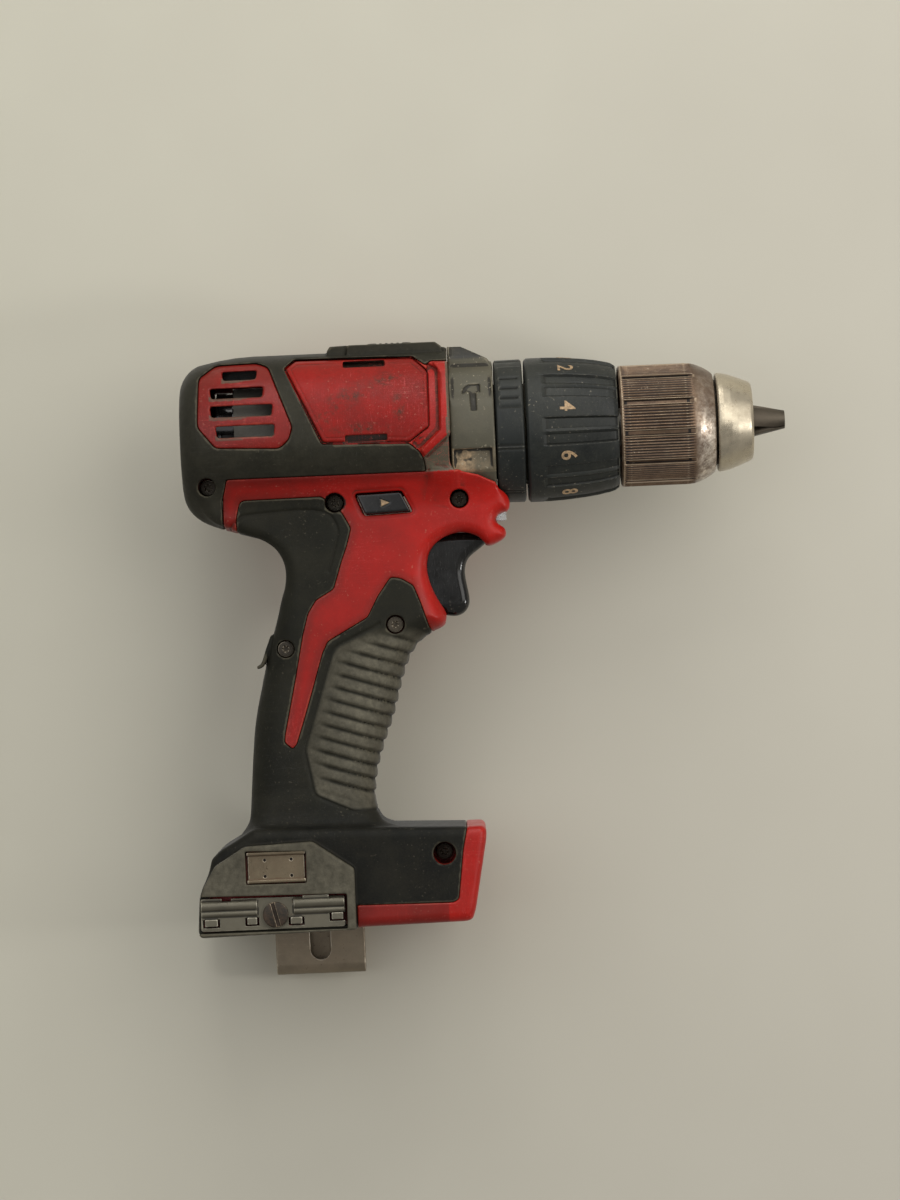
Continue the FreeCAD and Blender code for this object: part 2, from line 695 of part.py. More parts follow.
# ================================================================== gear case
band_rear, lip_bore = dims.shell_front_x + 0.1, dims.tube_inner - 0.5
case = rev("gear_case_turned", [
    (dims.case_rear_x, dims.case_inner), (dims.case_rear_x, dims.case_outer),
    (band_rear, dims.case_outer), (band_rear, dims.case_band - 0.6),
    (dims.shell_front_x + 0.7, dims.case_band), (-0.9, dims.case_band),
    (-0.2, dims.case_band - 0.7), (-0.2, dims.tube_outer),
    (dims.tube_front_x, dims.tube_outer), (dims.tube_front_x, lip_bore),
    (dims.tube_front_x - 2.0, lip_bore), (dims.tube_front_x - 2.0, dims.tube_inner),
    (0.0, dims.tube_inner), (0.0, 9.4), (-2.2, 9.4), (-2.2, dims.case_inner),
])
# Ramp on top of the band, in line with the selector frame, (x, z).
RAMP = [
    (-15.6, 20.0), (-15.6, 30.3), (-10.9, 30.2), (-7.5, 28.5), (-1.7, 25.5), (-0.5, 24.0),
    (-0.5, 20.0),
]
node("gear_case", cut(
    "gear_case_form",
    fuse("gear_case_whole", case, slab("gear_case_ramp", RAMP, -9.0, 9.0)),
    box("gear_case_flat", -45.0, -40.0, -60.0, 44.9, 80.0, 60.0 - dims.case_outer - 0.1),
    box("gear_case_recess", -14.6, -30.0, -14.2, 13.2, 8.2, 8.0),
    box("gear_case_recess_left", -14.6, 21.8, -14.2, 13.2, 8.2, 8.0),
    box("gear_case_slot", -28.2, -2.3, 15.0, 6.6, 4.6, 10.0),
    cyl("gear_case_screw_room", dims.screw_head + 0.45, SCREWS[0][0], -30.0, SCREWS[0][1],
        60.0, "y"),
))

# ==================================================================== collars
mode = rev("mode_collar_turned", [
    (0.3, dims.collar_bore), (0.3, dims.collar_outer - 0.7), (0.9, dims.collar_outer - 0.1),
    (dims.mode_front_x - 0.6, dims.collar_outer - 0.1),
    (dims.mode_front_x, dims.collar_outer - 0.8), (dims.mode_front_x, dims.collar_bore),
])
# A raised lug on the mode collar's right side.
LUG_REAR, LUG_FRONT, LUG_BOTTOM, LUG_TOP = 1.4, 9.4, -2.0, 18.0
lug_bore, lug_outer = dims.collar_bore + 1.0, dims.collar_outer + 0.4
mode_lug = common(
    "mode_lug",
    slab("mode_lug_prism", [(LUG_REAR, LUG_BOTTOM), (LUG_REAR, LUG_TOP), (LUG_FRONT, LUG_TOP),
                            (LUG_FRONT, LUG_BOTTOM)], -30.0, -18.0),
    rev("mode_lug_ring", [(LUG_REAR, lug_bore), (LUG_REAR, lug_outer), (LUG_FRONT, lug_outer),
                          (LUG_FRONT, lug_bore)]),
)
node("mode_collar", fuse("mode_collar_form", mode, mode_lug))

clutch_base = rev("clutch_collar_turned", [
    (dims.mode_front_x + 0.8, dims.collar_bore),
    (dims.mode_front_x + 0.8, dims.collar_outer - 0.9),
    (dims.mode_front_x + 1.6, dims.collar_outer),
    (dims.mode_front_x + 9.0, dims.collar_outer),
    (dims.mode_front_x + 18.0, dims.collar_outer - 0.5),
    (dims.mode_front_x + 26.0, dims.collar_outer - 1.5),
    (dims.clutch_front_x - 2.0, dims.collar_front + 0.5),
    (dims.clutch_front_x, dims.collar_front - 0.6),
    (dims.clutch_front_x, dims.collar_front - 2.0),
    (dims.clutch_front_x - 3.0, dims.collar_bore),
])
clutch_groove = block(15.0, -1.7, dims.collar_outer - 0.9, 24.5, 3.4, 3.0)
node("clutch_collar", cut("clutch_collar_form", clutch_base, feature(
    "clutch_grooves", Part.makeCompound(ring_of(clutch_groove, 9, 20)))))

# ============================================================= clutch springs
plate_bore, plate_outer = dims.tube_outer + 0.2, dims.collar_bore - 0.4
node("clutch_thrust_plate", rev("clutch_thrust_plate_body", [
    (1.0, plate_bore), (1.0, plate_outer), (2.4, plate_outer), (2.4, plate_bore)]))
nut_bore, nut_outer = dims.tube_outer + 0.15, dims.collar_bore - 0.3
node("clutch_nut", rev("clutch_nut_body", [
    (26.6, nut_bore), (26.6, nut_outer), (32.0, nut_outer), (32.0, nut_bore)]))


def coil(radius, wire, x0, x1, turns, per_turn=16, sides=8):
    """A coil spring along X with flat facets round its wire."""
    count = int(turns * per_turn)
    rings = []
    for i in range(count + 1):
        angle = 2 * math.pi * i / per_turn
        x = x0 + (x1 - x0) * i / count
        out = Vector(0, math.cos(angle), math.sin(angle))
        centre = Vector(x, radius * math.cos(angle), radius * math.sin(angle))
        section = []
        for j in range(sides):
            around = 2 * math.pi * j / sides
            along = Vector(wire * math.sin(around), 0, 0)
            section.append(centre + out * (wire * math.cos(around)) + along)
        rings.append(section)
    faces = [polygon_face(rings[0]), polygon_face(rings[-1])]
    for near, far in zip(rings, rings[1:]):
        for j in range(sides):
            k = (j + 1) % sides
            faces.append(polygon_face([near[j], near[k], far[k]]))
            faces.append(polygon_face([near[j], far[k], far[j]]))
    return solid_of(faces)


node("clutch_spring", feature("clutch_spring_form", coil(
    radius=18.45, wire=0.9, x0=3.4, x1=25.6, turns=5.0)))

# ====================================================================== chuck
JAW_COUNT, JAW_START = 3, 45  # number of jaws, and degrees about X to the first
jaw_radians = math.radians(dims.jaw_angle)


def jaw_slide(radius, x_front, x_back):
    """A rod along a jaw's slide direction, in the +Y half of the XY plane."""
    y_front = dims.jaw_tip_offset + (dims.jaw_tip_x - x_front) * math.tan(jaw_radians)
    length = (x_front - x_back) / math.cos(jaw_radians)
    direction = Vector(-math.cos(jaw_radians), math.sin(jaw_radians), 0)
    return rod(radius, x_front, y_front, 0, length, direction)


body_bore, body_front = dims.spindle_radius + 0.02, dims.nose_front_x - 1.4
chuck_base = rev("chuck_body_turned", [
    (46.0, body_bore), (46.0, 17.6), (46.6, 18.6), (56.5, 18.6), (56.5, 16.4), (67.6, 16.4),
    (67.6, 17.0), (72.5, 17.0), (77.0, 15.2), (body_front, 10.4),
    (body_front, dims.chuck_bore), (60.0, dims.chuck_bore), (60.0, body_bore),
])
jaw_hole = jaw_slide(dims.jaw_rod + 0.1, 108.0, 53.0)
node("chuck_body", cut("chuck_body_form", chuck_base, feature(
    "jaw_holes", Part.makeCompound(ring_of(jaw_hole, JAW_COUNT, JAW_START)))))

node("chuck_nose_ring", rev("chuck_nose_ring_body", [
    (77.9, 15.02), (77.9, 16.9), (78.6, 17.2), (82.0, 16.2), (86.2, 14.2), (88.6, 12.9),
    (89.9, 11.9), (dims.nose_front_x, 10.9), (dims.nose_front_x, 9.2),
    (dims.nose_front_x - 1.38, 9.2), (dims.nose_front_x - 1.38, 10.45),
]))

sleeve_base = rev("chuck_sleeve_turned", [
    (dims.sleeve_rear_x, dims.sleeve_bore), (dims.sleeve_rear_x, dims.sleeve_outer - 0.5),
    (dims.sleeve_rear_x + 0.6, dims.sleeve_outer), (67.5, dims.sleeve_outer),
    (70.5, dims.sleeve_outer - 0.45), (73.2, dims.sleeve_outer - 1.6),
    (75.4, dims.sleeve_outer - 2.9), (dims.sleeve_front_x, dims.sleeve_outer - 4.0),
    (dims.sleeve_front_x, 15.45), (72.5, 17.25), (68.0, 17.25), (67.2, dims.sleeve_bore),
])
sleeve_groove = block(44.8, -0.75, dims.sleeve_outer - 0.7, 23.0, 1.5, 2.0)
node("chuck_sleeve", cut("chuck_sleeve_form", sleeve_base, feature(
    "sleeve_grooves", Part.makeCompound(ring_of(sleeve_groove, 12)))))

nut_radius = dims.sleeve_bore - 0.03
node("chuck_nut", rev("chuck_nut_body", [
    (57.2, 17.1), (57.2, nut_radius), (66.8, nut_radius), (66.8, 17.1)]))

# A jaw is its rod, kept inside the tip cone (x, radius) and its own third of the circle.
JAW_CONE = [
    (60, 0), (60, 25), (84, 12.0), (89.5, 5.9), (dims.jaw_tip_x, 3.15), (dims.jaw_tip_x, 0),
]
WEDGE_NEAR, WEDGE_FAR = 0.24, 30.0  # y of the wedge's edge and of its far side
cone_face = polygon_face([Vector(x, y, 0) for x, y in JAW_CONE])
jaw_cone = Part.makeSolid(Part.makeShell(cone_face.revolve(ORIGIN, ALONG_X, 360).Faces))
wedge_half = (WEDGE_FAR - WEDGE_NEAR) * math.tan(math.radians(60))
wedge = polygon_face([
    Vector(60, WEDGE_NEAR, 0), Vector(60, WEDGE_FAR, wedge_half),
    Vector(60, WEDGE_FAR, -wedge_half),
]).extrude(Vector(60, 0, 0))
jaw = jaw_slide(dims.jaw_rod, dims.jaw_tip_x + 3.0, 75.0).common(jaw_cone).common(wedge)
jaw = jaw.cut(rod(dims.grip_radius, 60, 0, 0, 60))
jaw = jaw.cut(rod(2.6, 60, 0, 0, 32.0))
for k, shape in enumerate(ring_of(jaw, JAW_COUNT, JAW_START), 1):
    node("chuck_jaw_%d" % k, feature("chuck_jaw_form_%d" % k, shape))

# ==================================================================== gearing
PRESSURE = math.radians(25.0)
FLANK_STEPS = 4
# Gear proportions in modules.
ADDENDUM, DEDENDUM, BACKLASH = 0.8, 1.0, 0.11
RING_ADDENDUM, RING_DEDENDUM = 1.05, 0.8

MODULE = float(dims.gear_module)
RING_TEETH = int(dims.ring_teeth)
SUNS = [int(dims.sun_one), int(dims.sun_two), int(dims.sun_three)]
PLANETS = [(RING_TEETH - sun) // 2 for sun in SUNS]
ORBITS = [MODULE * (sun + planet) / 2.0 for sun, planet in zip(SUNS, PLANETS)]
PLANET_SPANS = [(-39.4, 5.8), (-26.2, 6.6), (-14.0, 8.4)]  # (rear x, width) per stage
PLANET_ANGLES = [2 * math.pi * k / 3 for k in range(3)]


def involute(angle):
    return math.tan(angle) - angle


def gear_face(teeth, addendum, dedendum, thin, phase=0.0):
    """An involute gear in the YZ plane. Proportions are in modules.

    thin is taken off each tooth's thickness at the pitch circle.
    """
    pitch = MODULE * teeth / 2.0
    base = pitch * math.cos(PRESSURE)
    tip, root = pitch + addendum * MODULE, pitch - dedendum * MODULE
    half = (math.pi * MODULE / 2.0 - thin * MODULE) / (2.0 * pitch)
    start = max(base, root)
    flank = []
    for i in range(FLANK_STEPS + 1):
        radius = start + (tip - start) * i / FLANK_STEPS
        slope = math.acos(min(1.0, base / radius))
        flank.append((radius, half + involute(PRESSURE) - involute(slope)))
    if root < base - 1e-6:
        flank.insert(0, (root, flank[0][1]))
    polar = []
    for k in range(teeth):
        centre = 2 * math.pi * k / teeth + phase
        polar += [(radius, centre - angle) for radius, angle in flank]
        polar += [(radius, centre + angle) for radius, angle in reversed(flank)]
    return polygon_face([Vector(0, r * math.cos(a), r * math.sin(a)) for r, a in polar])


def gear_solid(teeth, x, length, bore=0.0, phase=0.0):
    gear = gear_face(teeth, ADDENDUM, DEDENDUM, BACKLASH, phase).extrude(Vector(length, 0, 0))
    gear.translate(Vector(x, 0, 0))
    if bore:
        gear = gear.cut(rod(bore, x - 1, 0, 0, length + 2))
    return gear


def ring_gear_solid(x, length, radius):
    face = gear_face(RING_TEETH, RING_ADDENDUM, RING_DEDENDUM, -BACKLASH)
    hole = face.extrude(Vector(length + 2, 0, 0))
    hole.translate(Vector(x - 1, 0, 0))
    return rod(radius, x, 0, 0, length).cut(hole)


for stage, (x, width) in enumerate(PLANET_SPANS):
    for letter, angle in zip("abc", PLANET_ANGLES):
        gear = gear_solid(PLANETS[stage], x, width, dims.pin_radius + dims.run_gap, angle)
        orbit = ORBITS[stage]
        gear.translate(Vector(0, orbit * math.cos(angle), orbit * math.sin(angle)))
        tag = "%d%s" % (stage + 1, letter)
        node("planet_" + tag, feature("planet_form_" + tag, gear))


def pins(name, stage, plate_x):
    """The three planet pins of a stage, reaching 0.5 into the plate ahead of them."""
    x, orbit = PLANET_SPANS[stage][0], ORBITS[stage]
    return [
        feature("%s_pin_%d" % (name, i), rod(
            dims.pin_radius, x, orbit * math.cos(a), orbit * math.sin(a), plate_x - x + 0.5))
        for i, a in enumerate(PLANET_ANGLES)
    ]


CARRIER_THICK = 2.2


def carrier(name, stage, plate_x, radius, sun_end, phase):
    """A plate with this stage's pins behind it and the next stage's sun in front."""
    plate = cyl(name + "_plate", radius, plate_x, 0, 0, CARRIER_THICK)
    sun = feature(name + "_sun", gear_solid(
        SUNS[stage + 1], plate_x + CARRIER_THICK - 0.01, sun_end - plate_x - CARRIER_THICK,
        phase=phase))
    node(name, fuse(name + "_form", plate, sun, *pins(name, stage, plate_x)))


carrier("carrier_1", 0, plate_x=-32.6, radius=13.2, sun_end=-19.2, phase=0.0)
carrier("carrier_2", 1, plate_x=-18.4, radius=14.4, sun_end=-5.2, phase=math.pi / SUNS[2])

ring_plate = rev("ring_gear_1_plate", [
    (-43.4, 8.4), (-43.4, dims.ring_outer), (-41.1, dims.ring_outer), (-41.1, 8.4)])
node("ring_gear_1", fuse("ring_gear_1_form", feature(
    "ring_gear_1_teeth", ring_gear_solid(-41.2, 9.4, dims.ring_outer)), ring_plate))

# The shift ring has a groove round it that takes the fork.
GROOVE_X, GROOVE_WIDTH = -23.6, 1.4
node("shift_ring_gear", feature("shift_ring_form", ring_gear_solid(
    *PLANET_SPANS[1], dims.ring_outer - 0.35).cut(tube(18.2, 25, GROOVE_X, GROOVE_WIDTH))))
node("ring_gear_3", feature("ring_gear_3_form", ring_gear_solid(-13.8, 8.4, dims.ring_outer)))

# Shift fork: a wire bow in the shift ring's groove, with its tail up to the selector knob.
FORK_X = GROOVE_X + GROOVE_WIDTH / 2
BOW_RADIUS, BOW_WIRE = 18.75, 0.45
fork_centre = Vector(FORK_X, 0, 0)
bow = Part.makeTorus(BOW_RADIUS, BOW_WIRE, fork_centre, ALONG_X, -180, 180, 180)
bow.rotate(fork_centre, ALONG_X, -90.0)
tail = rod(0.6, FORK_X, 0, BOW_RADIUS, 5.0, Vector(0, 0, 1))
fork_bar = block(-36.6, -2.0, 22.8, 14.6, 4.0, 1.2)
node("shift_fork", feature("shift_fork_form", bow.fuse(tail).fuse(fork_bar)))

# Spindle with the third carrier.
SPINDLE_REAR, SPINDLE_FRONT = -4.6, 58.0
spindle_shaft = rev("spindle_turned", [
    (SPINDLE_REAR, 0.0), (SPINDLE_REAR, 15.6), (-2.6, 15.6), (-2.6, 9.2), (1.0, 9.2),
    (1.0, dims.spindle_radius), (SPINDLE_FRONT, dims.spindle_radius), (SPINDLE_FRONT, 0.0),
])
node("spindle", fuse("spindle_form", spindle_shaft, *pins("spindle", 2, SPINDLE_REAR)))


def ball_bearing(x, width, bore, radius, ball, count):
    """Two grooved races and their balls, as a list."""
    middle = (bore + radius) / 2.0
    mid_x = x + width / 2.0
    track = Part.makeTorus(middle, ball + 0.05, Vector(mid_x, 0, 0), ALONG_X)
    parts = [
        tube(bore, middle - ball * 0.45, x, width).cut(track),
        tube(middle + ball * 0.45, radius, x, width).cut(track),
    ]
    for k in range(count):
        a = 2 * math.pi * k / count
        parts.append(Part.makeSphere(
            ball, Vector(mid_x, middle * math.cos(a), middle * math.sin(a))))
    return parts


node("spindle_bearing", feature("spindle_bearing_form", Part.makeCompound(ball_bearing(
    x=28.0, width=7.9, bore=dims.spindle_radius + 0.03, radius=dims.tube_inner - 0.02,
    ball=1.35, count=10))))

# ====================================================================== motor
BEARING_RADIUS = 8.0
CAN_HOLE, CAN_SHEET = 8.05, 1.5  # front hole radius and front wall
node("motor_can", rev("motor_can_body", [
    (dims.can_rear_x, dims.can_inner), (dims.can_rear_x, dims.can_outer),
    (dims.can_front_x, dims.can_outer), (dims.can_front_x, CAN_HOLE),
    (dims.can_front_x - CAN_SHEET, CAN_HOLE), (dims.can_front_x - CAN_SHEET, dims.can_inner),
]))

MAGNET_REAR, MAGNET_FRONT, MAGNET_BORE, MAGNET_ARC = -84, -55, 14.3, 72
magnet_outer = dims.can_inner - 0.03
magnet = polygon_face([
    Vector(MAGNET_REAR, MAGNET_BORE, 0), Vector(MAGNET_REAR, magnet_outer, 0),
    Vector(MAGNET_FRONT, magnet_outer, 0), Vector(MAGNET_FRONT, MAGNET_BORE, 0),
]).revolve(ORIGIN, ALONG_X, MAGNET_ARC)
node("motor_magnets", feature("motor_magnets_form", Part.makeCompound(
    ring_of(magnet, 4, -MAGNET_ARC / 2))))

SHAFT_REAR, SHAFT_FRONT = -104.6, -41.5
shaft = rev("rotor_shaft_turned", [
    (SHAFT_REAR, 0.0), (SHAFT_REAR, dims.shaft_radius), (SHAFT_FRONT, dims.shaft_radius),
    (SHAFT_FRONT, 0.0)])
pinion = gear_solid(SUNS[0], -41.6, 8.6, phase=math.pi / SUNS[0])
node("rotor_shaft", fuse("rotor_shaft_form", shaft, feature("motor_pinion", pinion)))

# Rotor core, slotted for the windings.
POLES = 12
CORE_X, CORE_LENGTH, WINDING_RADIUS = -83.0, 27.0, 9.2
press_bore = dims.shaft_radius + 0.01
slot_mouth = block(CORE_X - 1, -0.7, 8.2, CORE_LENGTH + 2, 1.4, 8.0)
slot_hole = rod(1.75, CORE_X - 1, 0, WINDING_RADIUS, CORE_LENGTH + 2)
slots = []
for k in range(POLES):
    slots += [turned(slot_mouth, 30 * k), turned(slot_hole, 30 * k)]
core = tube(press_bore, dims.core_radius, CORE_X, CORE_LENGTH).cut(Part.makeCompound(slots))
node("rotor_core", feature("rotor_core_form", core))

winding_bar = rod(1.65, CORE_X - 0.2, 0, WINDING_RADIUS, CORE_LENGTH + 0.4)
node("rotor_windings", fuse(
    "rotor_windings_form",
    rev("windings_turned", [
        (-86.8, 5.6), (-86.8, 10.2), (-85.4, 12.2), (-83.1, 12.4), (-83.1, 5.6)]),
    rev("windings_front_turned", [
        (-55.9, 5.6), (-55.9, 12.4), (-54.0, 12.2), (-52.9, 10.2), (-52.9, 5.6)]),
    *[feature("winding_bar_%d" % i, bar) for i, bar in enumerate(ring_of(winding_bar, POLES))],
))

COMMUTATOR_X, COMMUTATOR_LENGTH = -96.2, 8.2
bar_gap = block(COMMUTATOR_X - 0.1, -0.25, dims.commutator_radius - 1.0,
                COMMUTATOR_LENGTH + 0.2, 0.5, 1.4)
commutator = tube(press_bore, dims.commutator_radius, COMMUTATOR_X, COMMUTATOR_LENGTH)
node("commutator", feature("commutator_form", commutator.cut(
    Part.makeCompound(ring_of(bar_gap, POLES, 15)))))

FAN_X, BLADE_ROOT, BLADE_TWIST, BLADE_COUNT = -51.6, 6.2, 22, 11
blade = block(-50.7, -0.45, BLADE_ROOT, 2.8, 0.9, 9.6)
blade.rotate(Vector(0, 0, BLADE_ROOT), ALONG_X, BLADE_TWIST)
fan = rod(16.6, FAN_X, 0, 0, 1.0).fuse(rod(5.5, FAN_X, 0, 0, 3.6))
for fan_blade in ring_of(blade, BLADE_COUNT):
    fan = fan.fuse(fan_blade)
node("cooling_fan", feature("cooling_fan_form", fan.cut(rod(press_bore, -53, 0, 0, 8))))

holder = rev("brush_holder_turned", [
    (-97.2, 9.2), (-97.2, 17.4), (-91.4, 17.4), (-91.4, 18.7), (-91.05, 18.7), (-91.05, 17.4),
    (-88.6, 17.4), (-88.6, 9.2)])
node("brush_holder", cut("brush_holder_form", holder, box_set("brush_room", [
    ("brush_room_%d" % i, -95.6, y, -2.6, 6.0, 13.0, 5.2) for i, y in enumerate((7.0, -20.0))
])))
BRUSH_Y, BRUSH_LENGTH = 8.1, 7.6  # inner end from the axis, and length along Y
node("carbon_brushes", feature("carbon_brushes_form", Part.makeCompound([
    block(-95.4, y, -2.4, 5.6, BRUSH_LENGTH, 4.8) for y in (BRUSH_Y, -BRUSH_Y - BRUSH_LENGTH)
])))

# (rear x, width) of the rear and front motor bearings.
bearings = []
for x, width in ((SHAFT_REAR, 4.0), (-47.4, 3.6)):
    bearings += ball_bearing(x, width, dims.shaft_radius + 0.02, BEARING_RADIUS, 1.3, 8)
node("motor_bearings", feature("motor_bearings_form", Part.makeCompound(bearings)))

# ==================================================== trigger, switch, button
TRIGGER = [
    (-4.9, -36.2), (-4.2, -38.2), (-6.2, -40.4), (-9.6, -42.7), (-11.9, -45.2),
    (-12.8, -48.2), (-12.5, -51.8), (-11.4, -56.4), (-11.2, -59.8), (-12.5, -62.4),
    (-15.0, -64.1), (-18.2, -64.2), (-24.0, -62.0), (-36.5, -62.0), (-36.5, -36.6),
    (-20.0, -35.9), (-10.0, -35.5),
]
TRIGGER_WALL = 1.6
PLUNGER_Z = -48.0
trigger_pad = pad("trigger_padded", "XZ_Plane", TRIGGER, dims.trigger_half * 2.0, middle=True)
trigger_hollow = box(
    "trigger_hollow", -38.0, -dims.trigger_half + TRIGGER_WALL, -60.4,
    13.0, dims.trigger_half * 2.0 - 2 * TRIGGER_WALL, 22.0)
plunger = cyl("switch_plunger", dims.plunger_radius, -48.8, 0.0, PLUNGER_Z, 25.0)
node("trigger", fuse("trigger_form", cut("trigger_shell", trigger_pad, trigger_hollow), plunger))

node("switch_body", cut(
    "switch_body_form",
    box_set("switch_block", [
        ("switch_box", -68.0, -10.6, -63.0, 23.5, 21.2, 33.0),
        ("switch_heat_sink", -66.0, -8.0, -30.5, 18.0, 16.0, 2.2),
    ]),
    cyl("switch_bore", dims.plunger_radius + 0.15, -57.0, 0.0, PLUNGER_Z, 20.0),
))

button_width = dims.handle_half * 2.0 + 3.8
node("direction_button", cut(
    "direction_button_form",
    pad("direction_button_body", "XZ_Plane", BUTTON, button_width, middle=True),
    box("direction_button_relief", -52.0, -11.2, -22.2, 24.0, 22.4, 6.0),
))

KNOB = [(-44.3, 30.4), (-43.6, 32.4), (-28.0, 32.4), (-27.3, 30.4)]
node("speed_selector", fuse(
    "speed_selector_form", slab("selector_knob", KNOB, -8.4, 8.4),
    box("selector_stem", -36.5, -3.0, 24.0, 6.0, 6.0, 7.4)))

node("led_lens", common(
    "led_lens_form", box("lens_box", -2.3, -6.9, -31.4, 5.2, 13.8, 3.5),
    cyl("lens_round", 9.0, -6.4, 0.0, -34.0, 10.0, "z")))

# ================================================================ foot fittings
CONTACTS_Y = (-12.0, -6.0, 0.0, 6.0, 12.0)
SLIT_HALF, CONTACT_HALF = 0.45, 0.4  # half thickness along Y
terminal = cut(
    "terminal_block_form",
    box("terminal_box", -97.8, -16.5, -166.0, 14.0, 33.0, 7.4),
    box_set("terminal_slots", [
        ("terminal_slot_%d" % i, -90.0, y - SLIT_HALF, -165.5, 8.0, 2 * SLIT_HALF, 5.2)
        for i, y in enumerate(CONTACTS_Y)
    ]),
)
contacts = [
    box("contact_%d" % i, -89.9, y - CONTACT_HALF, -165.4, 14.0, 2 * CONTACT_HALF, 5.0)
    for i, y in enumerate(CONTACTS_Y)
]
terminal_all = doc.addObject("Part::Compound", "terminal_block_assembly")
terminal_all.Links = [terminal] + contacts
node("terminal_block", terminal_all)

# Wires run in pairs, one each side of the split plane: (x, distance from it, z).
WIRE_RADIUS = 1.2
MOTOR_WIRE = [
    (-69.4, 4.0, -36.0), (-73.0, 6.0, -33.0), (-80.0, 8.5, -27.0), (-90.0, 10.0, -21.5),
    (-94.0, 9.5, -18.6),
]
FOOT_WIRE = [
    (-62.0, 4.0, -64.4), (-62.5, 4.0, -75.0), (-66.5, 4.0, -100.0), (-68.0, 5.0, -125.0),
    (-78.0, 8.0, -148.0), (-84.0, 9.0, -154.6),
]


def wire_run(points, side):
    """A round wire along a smooth curve; side is -1 for the right and 1 for the left."""
    places = [Vector(x, side * y, z) for x, y, z in points]
    curve = Part.BSplineCurve()
    curve.interpolate(places)
    tangent = curve.tangent(curve.FirstParameter)[0]
    circle = Part.Wire(Part.makeCircle(WIRE_RADIUS, places[0], tangent))
    return Part.Wire(curve.toShape()).makePipeShell([circle], True, True)


node("wiring", feature("wiring_form", Part.makeCompound([
    wire_run(points, side) for points in (MOTOR_WIRE, FOOT_WIRE) for side in (-1, 1)
])))

# Bit holder: a strip in the right pad's channel, with two ridges along it at each end.
BIT_Y, BIT_SHEET = -31.35, 1.0
BIT_REAR, BIT_FRONT, BIT_BOTTOM, BIT_TOP = -108.6, -59.4, -169.6, -158.4
bit = block(BIT_REAR, BIT_Y, BIT_BOTTOM, BIT_FRONT - BIT_REAR, BIT_SHEET, BIT_TOP - BIT_BOTTOM)
for x0, x1 in ((BIT_REAR, -88.6), (-77.6, BIT_FRONT)):
    for z in (-161.4, -166.2):
        bit = bit.fuse(rod(1.5, x0, BIT_Y - 0.1, z, x1 - x0))
# Clear the ridges round the screw head but keep the strip, then drill it and trim its back.
head_room = rod(5.4, RIGHT_HOLE_X, BIT_Y - 10, HOLE_Z, 20, ALONG_Y)
bit = bit.cut(head_room.cut(block(-113, BIT_Y, -195, 60, 1.2, 60)))
bit = bit.cut(rod(2.1, RIGHT_HOLE_X, BIT_Y - 10, HOLE_Z, 20, ALONG_Y))
bit = bit.cut(block(-130, BIT_Y + BIT_SHEET, -190, 80, 10, 40))
node("bit_holder", feature("bit_holder_form", bit))

# Magnet tray above it: a plate with four small holes between two lips.
tray = block(-91.4, -32.0, -151.6, 18.6, 0.9, 6.6)
for x in (-86.2, -77.0):
    for z in (-150.9, -145.9):
        tray = tray.cut(rod(0.45, x, -33.0, z, 3, ALONG_Y))
upper_lip, lower_lip = [block(-91.8, -32.8, z, 19.4, 1.7, 1.4) for z in (-145.0, -153.0)]
node("magnet_tray", feature("magnet_tray_form", tray.fuse(upper_lip.fuse(lower_lip))))

# Belt clip: a sheet hook on the left pad, bent round below the foot and back up outside.
CLIP_Y = 31.75  # inner face
clip_out = CLIP_Y + dims.clip_sheet  # outer face
CLIP = [  # (y, z)
    (CLIP_Y, -146.0), (clip_out, -146.0), (clip_out, -188.4), (clip_out + 0.6, -190.0),
    (clip_out + 2.2, -190.8), (clip_out + 5.0, -190.8), (clip_out + 6.6, -190.0),
    (clip_out + 7.2, -188.4), (clip_out + 7.2, -150.0), (clip_out + 9.6, -143.0),
    (clip_out + 11.0, -143.5), (clip_out + 8.7, -150.3), (clip_out + 8.7, -189.0),
    (clip_out + 7.4, -191.4), (clip_out + 5.4, -192.4), (clip_out + 1.6, -192.4),
    (CLIP_Y + 0.6, -191.0), (CLIP_Y, -189.0),
]
NOTCH_HALF, NOTCH_Z = 3.6, -183.4  # half width, and centre of its round end
clip_pad = pad("belt_clip_padded", "YZ_Plane", CLIP, dims.clip_width,
               LEFT_HOLE_X - dims.clip_width / 2.0)
clip_openings = fuse(
    "belt_clip_notch",
    box("notch_box", LEFT_HOLE_X - NOTCH_HALF, 30.0, NOTCH_Z, 2 * NOTCH_HALF, 5.0, 12.4),
    cyl("notch_round", NOTCH_HALF, LEFT_HOLE_X, 30.0, NOTCH_Z, 5.0, "y"),
    cyl("belt_clip_hole", 2.2, LEFT_HOLE_X, 30.0, HOLE_Z, 5.0, "y"),
)
access = cyl("belt_clip_access", 4.6, LEFT_HOLE_X, 37.0, HOLE_Z, 12.0, "y")
node("belt_clip", cut("belt_clip_form", clip_pad, clip_openings, access))

ACCESSORY_HEAD = 2.2


def accessory_screw(x, y, sign):
    """A slotted screw whose head starts at y and whose shank runs along sign * Y."""
    direction = Vector(0, sign, 0)
    head = rod(4.4, x, y, HOLE_Z, ACCESSORY_HEAD, direction)
    shank = rod(2.0, x, y + sign * ACCESSORY_HEAD, HOLE_Z, 11.0, direction)
    slot_y = y if sign > 0 else y - 1.0
    return head.fuse(shank).cut(block(x - 5.0, slot_y, HOLE_Z - 0.6, 10.0, 1.0, 1.2))


node("accessory_screws", feature("accessory_screws_form", Part.makeCompound([
    accessory_screw(RIGHT_HOLE_X, BIT_Y - ACCESSORY_HEAD, 1.0),
    accessory_screw(LEFT_HOLE_X, clip_out + 2.25, -1.0),
])))

